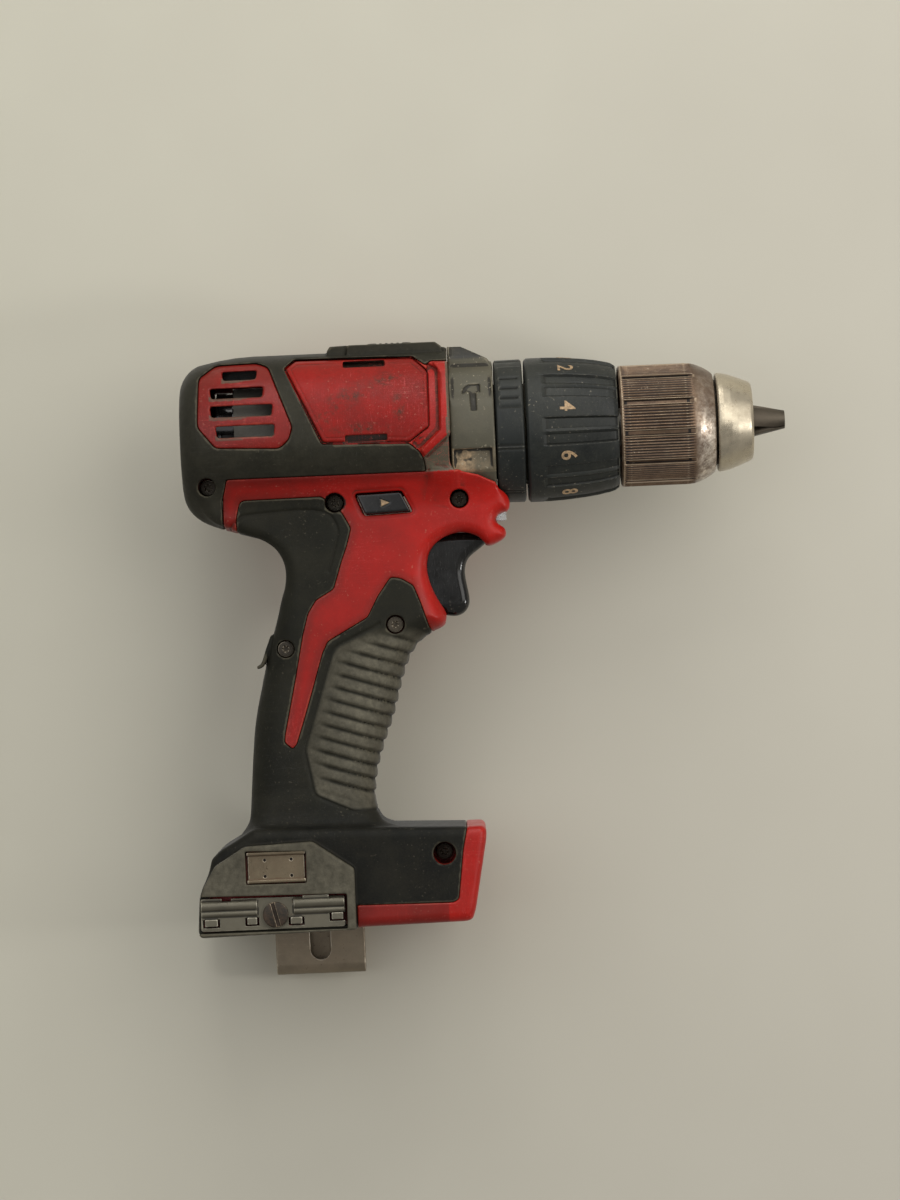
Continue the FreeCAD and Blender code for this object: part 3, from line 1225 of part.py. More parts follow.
# =============================================================== check, export
doc.recompute()
problems = []
for obj in doc.Objects:
    if any(state in ("Invalid", "Error") for state in obj.State):
        problems.append("%s %s" % (obj.Name, obj.State))
for label, obj in SUBPARTS:
    shape = obj.Shape
    if shape.isNull() or not shape.isValid() or shape.Volume <= 0 or not shape.Solids:
        problems.append("%s has no valid solid" % label)
if problems:
    raise RuntimeError("; ".join(problems))

os.makedirs("parts", exist_ok=True)
for label, obj in SUBPARTS:
    placed = obj.Shape.copy()
    placed.translate(Vector(-dims.grip_x, 0, 0))
    placed.exportStep("parts/%s.step" % label)
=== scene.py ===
import math

import bmesh
import bpy
import numpy as np
from mathutils import Matrix, Vector


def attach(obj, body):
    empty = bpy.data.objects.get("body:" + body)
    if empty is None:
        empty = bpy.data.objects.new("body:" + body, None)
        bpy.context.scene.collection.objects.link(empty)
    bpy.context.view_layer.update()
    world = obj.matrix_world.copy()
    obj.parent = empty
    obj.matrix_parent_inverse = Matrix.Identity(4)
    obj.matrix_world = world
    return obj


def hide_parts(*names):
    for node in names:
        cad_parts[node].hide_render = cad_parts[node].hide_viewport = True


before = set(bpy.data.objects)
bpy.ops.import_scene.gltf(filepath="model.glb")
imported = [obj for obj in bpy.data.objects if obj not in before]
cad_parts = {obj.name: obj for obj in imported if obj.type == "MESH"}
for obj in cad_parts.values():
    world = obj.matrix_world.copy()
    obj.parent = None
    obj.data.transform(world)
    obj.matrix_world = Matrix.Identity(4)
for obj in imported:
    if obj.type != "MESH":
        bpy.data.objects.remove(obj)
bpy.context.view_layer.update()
f4 = np.float32
MM = 0.001
FINE = 0.5


# ------------------------------------------------------------ distance fields
class Grid:
    """Sample points in millimetres; fields are float arrays, negative inside."""

    def __init__(self, lo, hi, h):
        self.h = h
        self.lo = np.array(lo, float)
        self.n = [int(math.ceil((b - a) / h)) + 1 for a, b in zip(lo, hi)]
        self.x = (lo[0] + h * np.arange(self.n[0])).astype(f4)[:, None, None]
        self.y = (lo[1] + h * np.arange(self.n[1])).astype(f4)[None, :, None]
        self.z = (lo[2] + h * np.arange(self.n[2])).astype(f4)[None, None, :]

    def xz(self, pts):
        return polygon(self.x[:, 0, :], self.z[0, :, :], pts)[:, None, :]

    def yz(self, pts):
        return polygon(self.y[0, :, :], self.z[0, :, :], pts)[None, :, :]

    def xz_line(self, pts):
        return polyline(self.x[:, 0, :], self.z[0, :, :], pts)[:, None, :]

    def box(self, x0, x1, y0, y1, z0, z1, r=0.0):
        dx = np.abs(self.x - (x0 + x1) / 2) - ((x1 - x0) / 2 - r)
        dy = np.abs(self.y - (y0 + y1) / 2) - ((y1 - y0) / 2 - r)
        dz = np.abs(self.z - (z0 + z1) / 2) - ((z1 - z0) / 2 - r)
        out = np.sqrt(np.maximum(dx, 0) ** 2 + np.maximum(dy, 0) ** 2 + np.maximum(dz, 0) ** 2)
        return (out + np.minimum(np.maximum(np.maximum(dx, dy), dz), 0) - r).astype(f4)

    def cyl_y(self, cx, cz, r):
        return (np.sqrt((self.x - cx) ** 2 + (self.z - cz) ** 2) - r).astype(f4)

    def cyl_x(self, cy, cz, r):
        return (np.sqrt((self.y - cy) ** 2 + (self.z - cz) ** 2) - r).astype(f4)


def polygon(px, pz, pts):
    """Signed distance to a closed polygon."""
    d2 = np.full(np.broadcast(px, pz).shape, 1e9, f4)
    inside = np.zeros(d2.shape, bool)
    n = len(pts)
    for i in range(n):
        (ax, az), (bx, bz) = pts[i], pts[(i + 1) % n]
        ex, ez = bx - ax, bz - az
        ll = ex * ex + ez * ez
        if ll < 1e-12:
            continue
        wx, wz = px - f4(ax), pz - f4(az)
        t = np.clip((wx * f4(ex) + wz * f4(ez)) / f4(ll), 0, 1)
        d2 = np.minimum(d2, (wx - t * f4(ex)) ** 2 + (wz - t * f4(ez)) ** 2)
        if abs(ez) > 1e-9:
            c = ((az <= pz) & (bz > pz)) | ((az > pz) & (bz <= pz))
            inside ^= c & (px < f4(ax) + (pz - f4(az)) * f4(ex / ez))
    d = np.sqrt(d2)
    return np.where(inside, -d, d).astype(f4)


def polyline(px, pz, pts):
    d2 = np.full(np.broadcast(px, pz).shape, 1e9, f4)
    for (ax, az), (bx, bz) in zip(pts, pts[1:]):
        ex, ez = bx - ax, bz - az
        ll = ex * ex + ez * ez
        wx, wz = px - f4(ax), pz - f4(az)
        t = np.clip((wx * f4(ex) + wz * f4(ez)) / f4(ll), 0, 1)
        d2 = np.minimum(d2, (wx - t * f4(ex)) ** 2 + (wz - t * f4(ez)) ** 2)
    return np.sqrt(d2).astype(f4)


def soften(pts, rounds=2, closed=True):
    """Corner cutting, so that a traced outline has no straight facets."""
    for _ in range(rounds):
        out = []
        n = len(pts)
        for i in range(n if closed else n - 1):
            a, b = pts[i], pts[(i + 1) % n]
            out.append((a[0] * 0.75 + b[0] * 0.25, a[1] * 0.75 + b[1] * 0.25))
            out.append((a[0] * 0.25 + b[0] * 0.75, a[1] * 0.25 + b[1] * 0.75))
        pts = out
    return pts


def corners(pts, r=1.0):
    """Rounds each corner of a polygon by about r, keeping its sides in place."""
    out = []
    n = len(pts)
    for i in range(n):
        p, a, b = pts[i], pts[i - 1], pts[(i + 1) % n]
        la, lb = math.dist(p, a), math.dist(p, b)
        ta, tb = min(0.45, r / max(la, 1e-6)), min(0.45, r / max(lb, 1e-6))
        pa = (p[0] + (a[0] - p[0]) * ta, p[1] + (a[1] - p[1]) * ta)
        pb = (p[0] + (b[0] - p[0]) * tb, p[1] + (b[1] - p[1]) * tb)
        for k in range(5):
            t = k / 4.0
            out.append(tuple((1 - t) ** 2 * pa[j] + 2 * t * (1 - t) * p[j] + t * t * pb[j] for j in (0, 1)))
    return out


def value_noise(gr, cell, seed):
    """Smooth noise in -0.5..0.5 that varies over about cell millimetres."""
    rng = np.random.default_rng(seed)
    n = [int(k * gr.h / cell) + 3 for k in gr.n]
    v = rng.random(n).astype(f4) - f4(0.5)
    for ax in range(3):
        t = np.arange(gr.n[ax]) * gr.h / cell
        i = np.floor(t).astype(int)
        f = (t - i).astype(f4)
        f = f * f * (3 - 2 * f)
        sh = [1, 1, 1]
        sh[ax] = -1
        v = np.take(v, i, ax) * (1 - f.reshape(sh)) + np.take(v, i + 1, ax) * f.reshape(sh)
    return v


def smin(a, b, k):
    h = np.clip(0.5 + 0.5 * (b - a) / k, 0, 1)
    return (b + (a - b) * h - k * h * (1 - h)).astype(f4)


def smax(a, b, k):
    return -smin(-a, -b, k)


def slab(d2, h, r):
    """Extrusion of a 2D field with rounded rims; r may vary over the outline."""
    a, b = d2 + r, h + r
    return (np.sqrt(np.maximum(a, 0) ** 2 + np.maximum(b, 0) ** 2) + np.minimum(np.maximum(a, b), 0) - r).astype(f4)


def step(d, w):
    """0 well inside a region (d < -w) and 1 outside it (d > w), smooth between."""
    t = np.clip((d + w) / (2 * w), 0, 1)
    return t * t * (3 - 2 * t)


# -------------------------------------------------------------- surface nets
EDGES = [((0, 0, 0), (1, 0, 0)), ((0, 1, 0), (1, 1, 0)), ((0, 0, 1), (1, 0, 1)), ((0, 1, 1), (1, 1, 1)),
         ((0, 0, 0), (0, 1, 0)), ((1, 0, 0), (1, 1, 0)), ((0, 0, 1), (0, 1, 1)), ((1, 0, 1), (1, 1, 1)),
         ((0, 0, 0), (0, 0, 1)), ((1, 0, 0), (1, 0, 1)), ((0, 1, 0), (0, 1, 1)), ((1, 1, 0), (1, 1, 1))]


def sample(D, g, p):
    """Trilinear value of field D at points p, in millimetres."""
    q = (p - g.lo) / g.h
    i = np.clip(np.floor(q).astype(np.int32), 0, np.array(D.shape) - 2)
    f = (q - i).astype(f4)
    flat = D.reshape(-1)
    sy, sx = D.shape[2], D.shape[1] * D.shape[2]
    base = i[:, 0] * sx + i[:, 1] * sy + i[:, 2]
    out = 0
    for a in (0, 1):
        for b in (0, 1):
            for c in (0, 1):
                w = (f[:, 0] if a else 1 - f[:, 0]) * (f[:, 1] if b else 1 - f[:, 1]) * (f[:, 2] if c else 1 - f[:, 2])
                out = out + w * flat[base + a * sx + b * sy + c]
    return out


def nets(D, g, relax=2):
    """Vertices (mm) and quads of the zero surface of D."""
    D = np.ascontiguousarray(np.broadcast_to(D, g.n), f4).copy()
    for ax in range(3):
        s = [slice(None)] * 3
        for e in (0, -1):
            s[ax] = e
            D[tuple(s)] = np.maximum(D[tuple(s)], f4(g.h * 0.5))
    S = D < 0
    c = np.zeros([n - 1 for n in D.shape], np.uint8)
    for a in (0, 1):
        for b in (0, 1):
            for d in (0, 1):
                c += S[a:a + c.shape[0], b:b + c.shape[1], d:d + c.shape[2]]
    I = np.argwhere((c > 0) & (c < 8)).astype(np.int32)
    vid = np.full(c.shape, -1, np.int32)
    vid[I[:, 0], I[:, 1], I[:, 2]] = np.arange(len(I), dtype=np.int32)
    flat = D.reshape(-1)
    sx, sy = D.shape[1] * D.shape[2], D.shape[2]
    base = I[:, 0].astype(np.int64) * sx + I[:, 1] * sy + I[:, 2]
    acc = np.zeros((len(I), 3), f4)
    cnt = np.zeros(len(I), f4)
    for p, q in EDGES:
        va = flat[base + p[0] * sx + p[1] * sy + p[2]]
        vb = flat[base + q[0] * sx + q[1] * sy + q[2]]
        m = (va < 0) != (vb < 0)
        t = np.where(m, va / np.where(m, va - vb, 1), 0).astype(f4)
        for k in range(3):
            acc[:, k] += np.where(m, p[k] + (q[k] - p[k]) * t, 0)
        cnt += m
    v = (g.lo + g.h * (I + acc / cnt[:, None])).astype(np.float64)
    quads = []
    for ax in range(3):
        o1, o2 = [(1, 2), (2, 0), (0, 1)][ax]
        a = [slice(None)] * 3
        b = [slice(None)] * 3
        a[ax], b[ax] = slice(None, -1), slice(1, None)
        diff = S[tuple(a)] != S[tuple(b)]
        P = np.argwhere(diff).astype(np.int32)
        ok = (P[:, o1] > 0) & (P[:, o2] > 0) & (P[:, o1] < D.shape[o1] - 1) & (P[:, o2] < D.shape[o2] - 1)
        P = P[ok]
        def cell(d1, d2):
            Q = P.copy()
            Q[:, o1] -= d1
            Q[:, o2] -= d2
            return vid[Q[:, 0], Q[:, 1], Q[:, 2]]
        q = np.stack([cell(1, 1), cell(0, 1), cell(0, 0), cell(1, 0)], 1)
        inside_first = S[P[:, 0], P[:, 1], P[:, 2]]
        q[~inside_first] = q[~inside_first][:, ::-1]
        quads.append(q)
    quads = np.concatenate(quads)
    if relax:
        e = np.concatenate([quads[:, [0, 1]], quads[:, [1, 2]], quads[:, [2, 3]], quads[:, [3, 0]]])
        deg = np.bincount(e.ravel(), minlength=len(v)).astype(float)
        for _ in range(relax):
            avg = np.zeros_like(v)
            for k in range(3):
                avg[:, k] = (np.bincount(e[:, 0], v[e[:, 1], k], len(v)) + np.bincount(e[:, 1], v[e[:, 0], k], len(v))) / deg
            v = v * 0.5 + avg * 0.5
            n, m = gradient(D, g, v)
            v = v - n * np.clip(sample(D, g, v) / np.maximum(m, 0.3), -0.5 * g.h, 0.5 * g.h)[:, None]
    return v, quads, D


def gradient(D, g, v, e=None):
    e = g.h * 0.6 if e is None else e
    n = np.stack([sample(D, g, v + np.eye(3)[k] * e) - sample(D, g, v - np.eye(3)[k] * e) for k in range(3)], 1) / (2 * e)
    m = np.linalg.norm(n, axis=1)
    return n / np.maximum(m, 1e-6)[:, None], m


def curvature(v, quads, n):
    """Signed bend at each vertex: positive on an outside edge, negative in a groove."""
    e = np.concatenate([quads[:, [0, 1]], quads[:, [1, 2]], quads[:, [2, 3]], quads[:, [3, 0]]])
    deg = np.maximum(np.bincount(e.ravel(), minlength=len(v)), 1).astype(float)
    avg = np.zeros_like(v)
    for k in range(3):
        avg[:, k] = (np.bincount(e[:, 0], v[e[:, 1], k], len(v)) + np.bincount(e[:, 1], v[e[:, 0], k], len(v))) / deg
    c = -((avg - v) * n).sum(1)
    for _ in range(2):
        c = 0.4 * c + 0.6 * (np.bincount(e[:, 0], c[e[:, 1]], len(v)) + np.bincount(e[:, 1], c[e[:, 0]], len(v))) / deg
    return c


# The pieces are laid out from the gear case's front face; the frame's origin is in the jaws' grip.
SHIFT = -0.097


def ride(o, body):
    o.data.transform(Matrix.Translation(Vector((SHIFT, 0, 0))))
    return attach(o, body)


# ---------------------------------------------------------------- mesh making
def mesh_object(name, v, faces, smooth=True):
    me = bpy.data.meshes.new(name)
    v = np.asarray(v, float)
    q = np.asarray(faces, np.int32)
    me.vertices.add(len(v))
    me.vertices.foreach_set("co", (v * MM).astype(f4).ravel())
    me.loops.add(q.size)
    me.loops.foreach_set("vertex_index", q.ravel())
    me.polygons.add(len(q))
    me.polygons.foreach_set("loop_start", np.arange(0, q.size, q.shape[1], dtype=np.int32))
    me.polygons.foreach_set("use_smooth", np.full(len(q), smooth))
    me.update(calc_edges=True)
    me.validate()
    o = bpy.data.objects.new(name, me)
    bpy.context.scene.collection.objects.link(o)
    return o


def attribute(o, name, values):
    a = o.data.attributes.new(name, "FLOAT", "POINT")
    a.data.foreach_set("value", np.asarray(values, f4))


def from_field(name, D, g, flip=False, relax=2, masks=None, normals=True):
    v, q, D = nets(D, g, relax)
    n, _ = gradient(D, g, v)
    bend = curvature(v, q, n) / g.h
    extra = {k: f(v) for k, f in (masks or {}).items()}
    if flip:
        v = v * [1, -1, 1]
        n = n * [1, -1, 1]
        q = q[:, ::-1]
    o = mesh_object(name, v, q)
    attribute(o, "bend", bend)
    for k, a in extra.items():
        attribute(o, k, a)
    if normals and len(o.data.vertices) == len(n):
        o.data.normals_split_custom_set_from_vertices(n.astype(f4).tolist())
    return o


def turned(name, profile, segments=192, shape=None, close=True, smooth_angle=35.0, cap=False):
    """A closed ring mesh about X. profile is (x, r) round the section; shape(x, r, angle) gives the moved radius."""
    p = np.array(profile, float)
    th = np.linspace(0, 2 * math.pi, segments, endpoint=False)
    X = np.repeat(p[:, 0][:, None], segments, 1)
    Rr = np.repeat(p[:, 1][:, None], segments, 1)
    T = np.repeat(th[None, :], len(p), 0)
    if shape is not None:
        Rr = shape(X, Rr, T)
    # the angle is measured from -Y towards +Z
    v = np.stack([X, -Rr * np.cos(T), Rr * np.sin(T)], 2).reshape(-1, 3)
    n, m = len(p), segments
    i = np.arange(n)[:, None]
    j = np.arange(m)[None, :]
    i2, j2 = (i + 1) % n, (j + 1) % m
    q = np.stack([i * m + j, i * m + j2, i2 * m + j2, i2 * m + j], 2).reshape(-1, 4)
    o = mesh_object(name, v, q)
    bm = bmesh.new()
    bm.from_mesh(o.data)
    bmesh.ops.recalc_face_normals(bm, faces=bm.faces)
    bm.to_mesh(o.data)
    bm.free()
    o.data.set_sharp_from_angle(angle=math.radians(smooth_angle))
    bend_attribute(o)
    return o


def bend_attribute(o, scale=None):
    me = o.data
    v = np.zeros(len(me.vertices) * 3)
    me.vertices.foreach_get("co", v)
    v = v.reshape(-1, 3) / MM
    n = np.zeros(len(me.vertices) * 3)
    me.vertex_normals.foreach_get("vector", n)
    n = n.reshape(-1, 3)
    e = np.zeros(len(me.edges) * 2, np.int32)
    me.edges.foreach_get("vertices", e)
    e = e.reshape(-1, 2)
    deg = np.maximum(np.bincount(e.ravel(), minlength=len(v)), 1).astype(float)
    length = np.linalg.norm(v[e[:, 0]] - v[e[:, 1]], axis=1)
    sl = (np.bincount(e[:, 0], length, len(v)) + np.bincount(e[:, 1], length, len(v))) / deg
    avg = np.stack([(np.bincount(e[:, 0], v[e[:, 1], k], len(v)) + np.bincount(e[:, 1], v[e[:, 0], k], len(v))) / deg for k in range(3)], 1)
    c = -((avg - v) * n).sum(1) / np.maximum(sl, 1e-3)
    attribute(o, "bend", c)


def refine(profile, corner=0.25, step_mm=0.8):
    """Puts a small chamfer at each corner of a closed (x, r) section and stations along its sides."""
    out = []
    n = len(profile)
    for i in range(n):
        p, a, b = profile[i], profile[i - 1], profile[(i + 1) % n]
        la, lb = math.dist(p, a), math.dist(p, b)
        ca, cb = min(corner, la * 0.4), min(corner, lb * 0.4)
        pa = (p[0] + (a[0] - p[0]) * ca / la, p[1] + (a[1] - p[1]) * ca / la)
        pb = (p[0] + (b[0] - p[0]) * cb / lb, p[1] + (b[1] - p[1]) * cb / lb)
        mid = (0.25 * pa[0] + 0.5 * p[0] + 0.25 * pb[0], 0.25 * pa[1] + 0.5 * p[1] + 0.25 * pb[1])
        out += [pa, mid, pb]
        nb = profile[(i + 1) % n]
        ln = math.dist(pb, nb) - min(corner, lb * 0.4)
        k = int(ln / step_mm)
        for s in range(1, k):
            t = s / k * (ln / math.dist(pb, nb))
            out.append((pb[0] + (nb[0] - pb[0]) * t, pb[1] + (nb[1] - pb[1]) * t))
    return out


def join(name, objs):
    vs, out, base = [], [], 0
    me = bpy.data.meshes.new(name)
    bm = bmesh.new()
    for o in objs:
        tmp = o.data.copy()
        tmp.transform(o.matrix_world)
        bm.from_mesh(tmp)
        bpy.data.meshes.remove(tmp)
    bm.to_mesh(me)
    bm.free()
    for o in objs:
        bpy.data.objects.remove(o)
    n = bpy.data.objects.new(name, me)
    bpy.context.scene.collection.objects.link(n)
    return n


# ------------------------------------------------------------------ materials
class Nodes:
    def __init__(self, name):
        self.mat = bpy.data.materials.new(name)
        self.mat.use_nodes = True
        self.t = self.mat.node_tree
        self.t.nodes.clear()
        self.out = self.new("ShaderNodeOutputMaterial")
        self.bsdf = self.new("ShaderNodeBsdfPrincipled")
        self.link(self.bsdf.outputs[0], self.out.inputs[0])
        self.co = self.new("ShaderNodeTexCoord").outputs["Object"]

    def new(self, kind, **k):
        n = self.t.nodes.new(kind)
        for a, b in k.items():
            setattr(n, a, b)
        return n

    def link(self, a, b):
        self.t.links.new(a, b)

    def val(self, socket, v):
        if hasattr(v, "is_output"):
            self.link(v, socket)
        else:
            socket.default_value = v

    def noise(self, scale, detail=3.0, rough=0.55, stretch=None, seed=0.0, distort=0.0):
        m = self.new("ShaderNodeMapping")
        self.link(self.co, m.inputs[0])
        m.inputs["Location"].default_value = (seed, seed * 1.7, seed * 0.6)
        if stretch:
            m.inputs["Scale"].default_value = stretch
        n = self.new("ShaderNodeTexNoise")
        self.link(m.outputs[0], n.inputs["Vector"])
        n.inputs["Scale"].default_value = scale
        n.inputs["Detail"].default_value = detail
        n.inputs["Roughness"].default_value = rough
        n.inputs["Distortion"].default_value = distort
        return n.outputs[0]

    def ramp(self, v, a, b, lo=0.0, hi=1.0):
        n = self.new("ShaderNodeMapRange")
        self.val(n.inputs["Value"], v)
        n.inputs["From Min"].default_value = a
        n.inputs["From Max"].default_value = b
        n.inputs["To Min"].default_value = lo
        n.inputs["To Max"].default_value = hi
        n.clamp = True
        return n.outputs[0]

    def math(self, op, a, b=0.0):
        n = self.new("ShaderNodeMath", operation=op)
        self.val(n.inputs[0], a)
        self.val(n.inputs[1], b)
        return n.outputs[0]

    def mix(self, f, a, b):
        n = self.new("ShaderNodeMix", data_type="RGBA")
        self.val(n.inputs["Factor"], f)
        for s, v in ((n.inputs[6], a), (n.inputs[7], b)):
            self.val(s, v if hasattr(v, "is_output") else tuple(v) + (1.0,))
        return n.outputs[2]

    def attr(self, name):
        n = self.new("ShaderNodeAttribute", attribute_name=name)
        return n.outputs["Fac"]

    def bump(self, height, strength, distance, normal=None):
        n = self.new("ShaderNodeBump")
        n.inputs["Strength"].default_value = strength
        n.inputs["Distance"].default_value = distance
        self.link(height, n.inputs["Height"])
        if normal is not None:
            self.link(normal, n.inputs["Normal"])
        return n.outputs[0]

    def set(self, name, v):
        self.val(self.bsdf.inputs[name], v)


def lin(r, g, b):
    f = lambda c: (c / 255.0 / 12.92) if c <= 10.3 else ((c / 255.0 + 0.055) / 1.055) ** 2.4
    return (f(r), f(g), f(b))


def finish_mat(name, base, rough=0.45, x_light_falloff=None, third=None, third_attr=None, cavity_shade=None, patchy=False, third_patchy=False, shine=0.0, metal=0.0, vary=0.18, dust=None, dust_amt=0.35, dust_scale=60.0, wear=None,
               wear_at=0.05, wear_amt=0.8, grain=0.0, grain_size=0.5, speck=0.0, speck_col=(0.6, 0.5, 0.4), scratch=0.0,
               scratch_dir=(1, 1, 1), stretch=None, coat=0.0, groove=0.0, second=None, second_attr=None, spec=0.5, smear=0.0,
               cav_at=0.03):
    """A used surface: blotchy colour, dust that gathers in hollows, bright or pale worn edges, grain and scratches,
    with painted shade darkening the hollows and an optional painted light falloff along X.
    """
    n = Nodes(name)
    col = base
    if second is not None:
        fac = n.attr(second_attr)
        if patchy:
            fac = n.math("MULTIPLY", fac, n.ramp(n.noise(420.0, 5.0, 0.75, seed=8.2), 0.36, 0.62, patchy, 1.0))
        col = n.mix(fac, base, second)
    if third is not None:
        fac3 = n.attr(third_attr)
        if third_patchy:
            fac3 = n.math("MULTIPLY", fac3, n.ramp(n.noise(330.0, 6.0, 0.75, seed=9.4), 0.47, 0.62, 0.0, 0.85))
        col = n.mix(fac3, col if hasattr(col, "is_output") else base, third)
    big = n.noise(38.0, 4.0, 0.6, seed=len(name) * 0.013)
    mid = n.noise(210.0, 5.0, 0.65, seed=0.3)
    fine = n.noise(1600.0, 3.0, 0.6, seed=0.7)
    dark = tuple(c * (1 - vary) for c in base)
    lite = tuple(min(1.0, c * (1 + vary)) for c in base)
    tone = n.ramp(n.math("ADD", n.math("MULTIPLY", big, 0.6), n.math("MULTIPLY", mid, 0.4)), 0.35, 0.65, 1 - vary, 1 + vary)
    # painted light falloff: the colour is scaled along object X, darker towards the rear
    if x_light_falloff is not None:
        sep = n.new("ShaderNodeSeparateXYZ")
        n.link(n.co, sep.inputs[0])
        tone = n.math("MULTIPLY", tone, n.ramp(sep.outputs[0], *x_light_falloff))
    bright = n.new("ShaderNodeVectorMath", operation="SCALE")
    n.val(bright.inputs[0], col if hasattr(col, "is_output") else tuple(col))
    n.link(tone, bright.inputs["Scale"])
    col = bright.outputs[0]
    bend = n.attr("bend")
    rg = n.ramp(mid, 0.3, 0.7, rough - 0.08, rough + 0.1)
    mt = metal
    if shine:
        rg = n.math("SUBTRACT", rg, n.math("MULTIPLY", n.attr(second_attr), shine))
    if dust is not None:
        hollow = n.ramp(bend, -cav_at * 0.3, -cav_at, 0.0, 0.9)
        film = n.ramp(n.math("ADD", n.math("MULTIPLY", n.noise(dust_scale, 6.0, 0.7, seed=1.3), 0.7), n.math("MULTIPLY", fine, 0.3)), 0.42, 0.68, 0.0, 1.0)
        m = n.math("MINIMUM", n.math("ADD", n.math("MULTIPLY", hollow, n.ramp(mid, 0.3, 0.6, 0.35, 1.0)), n.math("MULTIPLY", film, dust_amt)), 1.0)
        col = n.mix(m, col, dust)
        rg = n.math("ADD", rg, n.math("MULTIPLY", m, 0.3))
        if metal:
            mt = n.math("MULTIPLY", n.math("SUBTRACT", 1.0, m), metal)
    # painted shade: hollows and grooves are darkened towards the cavity colour
    if cavity_shade is not None:
        col = n.mix(n.ramp(bend, -0.01, -cav_at, 0.0, 0.92), col, cavity_shade)
    if speck:
        s = n.ramp(n.noise(950.0, 2.0, 0.5, seed=2.1), 0.66, 0.72, 0.0, speck)
        s = n.math("MULTIPLY", s, n.ramp(n.noise(90.0, 3.0, 0.6, seed=3.3), 0.42, 0.6, 0.1, 1.0))
        col = n.mix(s, col, speck_col)
    if wear is not None:
        edge = n.ramp(n.math("ADD", bend, n.math("MULTIPLY", n.math("SUBTRACT", n.noise(300.0, 5.0, 0.7, seed=4.0), 0.5), wear_at * 1.6)), wear_at * 0.7, wear_at * 1.3, 0.0, wear_amt)
        col = n.mix(edge, col, wear)
    if scratch:
        for k, (st, sd) in enumerate((((1.0, 1.0, 26.0), 0.2), ((22.0, 1.0, 2.0), 1.9), ((9.0, 1.0, 11.0), 3.1))):
            line = n.noise(60.0, 2.0, 0.4, stretch=st, seed=sd, distort=0.4)
            thin = n.math("SUBTRACT", 1.0, n.ramp(n.math("ABSOLUTE", n.math("SUBTRACT", line, 0.5)), 0.0, 0.0045))
            patch = n.ramp(n.noise(24.0, 2.0, 0.5, seed=sd + 5), 0.5, 0.62)
            col = n.mix(n.math("MULTIPLY", n.math("MULTIPLY", thin, patch), scratch), col, tuple(min(1.0, c * 1.9 + 0.07) for c in base))
    n.set("Base Color", col)
    n.set("Roughness", n.math("MINIMUM", rg, 0.97))
    n.set("Metallic", mt)
    n.bsdf.inputs["Specular IOR Level"].default_value = spec
    if coat:
        n.bsdf.inputs["Coat Weight"].default_value = coat
        n.bsdf.inputs["Coat Roughness"].default_value = 0.12
    normal = None
    if grain:
        g1 = n.noise(1000.0 / grain_size, 4.0, 0.6, seed=6.0, stretch=stretch)
        normal = n.bump(g1, min(1.0, grain), 0.00006 * max(grain_size, 0.4), normal)
    normal = n.bump(mid, 0.25, 0.0001, normal)
    n.link(normal, n.bsdf.inputs["Normal"])
    return n.mat


def paint(o, mat):
    if o.data.materials:
        for i in range(len(o.data.materials)):
            o.data.materials[i] = mat
    else:
        o.data.materials.append(mat)
    return o


DUST = lin(150, 138, 118)
M = {}
# the red carries a painted light falloff along X, darker towards the rear of the tool
M["red"] = finish_mat("red_plastic", lin(156, 19, 11), 0.36, vary=0.16, dust=lin(70, 34, 24), dust_amt=0.30, dust_scale=46.0, wear=lin(186, 78, 60), wear_at=0.12,
                      wear_amt=0.35, grain=0.3, grain_size=0.35, scratch=0.6, speck=0.2, speck_col=lin(190, 140, 118), spec=0.26,
                      second=lin(26, 25, 20), second_attr="dark", third=lin(84, 80, 66), third_attr="olive", x_light_falloff=(-0.200, -0.100, 0.70, 1.08))
M["red_barrel"] = finish_mat("red_badge_plastic", lin(132, 16, 9), 0.36, vary=0.22, dust=lin(48, 30, 22), dust_amt=0.46, dust_scale=30.0, wear=lin(178, 78, 62), wear_at=0.14,
                             wear_amt=0.4, grain=0.12, grain_size=0.3, scratch=0.8, speck=0.25, speck_col=lin(180, 130, 110), spec=0.17, third=lin(62, 40, 28), third_attr="smudge", third_patchy=True)
M["rubber"] = finish_mat("rubber_overmould", lin(26, 26, 20), 0.58, vary=0.28, dust=lin(60, 56, 44), dust_amt=0.26, wear=lin(92, 87, 72), wear_at=0.105,
                         wear_amt=0.5, grain=0.6, grain_size=0.45, speck=0.16, speck_col=lin(130, 122, 104), second=lin(88, 84, 72), second_attr="pale", spec=0.14,
                         cavity_shade=lin(14, 14, 11), cav_at=0.15, scratch=0.3, patchy=0.55, third=lin(13, 14, 12), third_attr="soot")
M["black"] = finish_mat("gloss_black_plastic", lin(11, 11, 11), 0.16, vary=0.2, dust=lin(84, 80, 70), dust_amt=0.07, wear=lin(104, 98, 86), wear_at=0.16,
                        wear_amt=0.35, grain=0.05, grain_size=0.4, scratch=0.9, speck=0.12, speck_col=lin(150, 140, 125), spec=0.3, coat=0.25)
M["collar"] = finish_mat("collar_plastic", lin(26, 29, 28), 0.44, vary=0.24, dust=lin(66, 66, 56), dust_amt=0.32, wear=lin(112, 108, 96), wear_at=0.18,
                         wear_amt=0.5, grain=0.4, grain_size=0.3, speck=0.4, speck_col=lin(150, 142, 124), cav_at=0.10, cavity_shade=lin(13, 14, 12), scratch=0.7, spec=0.28)
M["case"] = finish_mat("gear_case_metal", lin(76, 73, 60), 0.5, metal=0.3, vary=0.24, dust=lin(100, 92, 74), dust_amt=0.35, wear=lin(140, 132, 112), wear_at=0.12,
                       wear_amt=0.5, grain=0.9, grain_size=0.5, speck=0.6, speck_col=lin(178, 168, 146), second=lin(164, 140, 108), second_attr="bare", patchy=0.15,
                       third=lin(32, 31, 27), third_attr="hood", cavity_shade=lin(30, 28, 22))
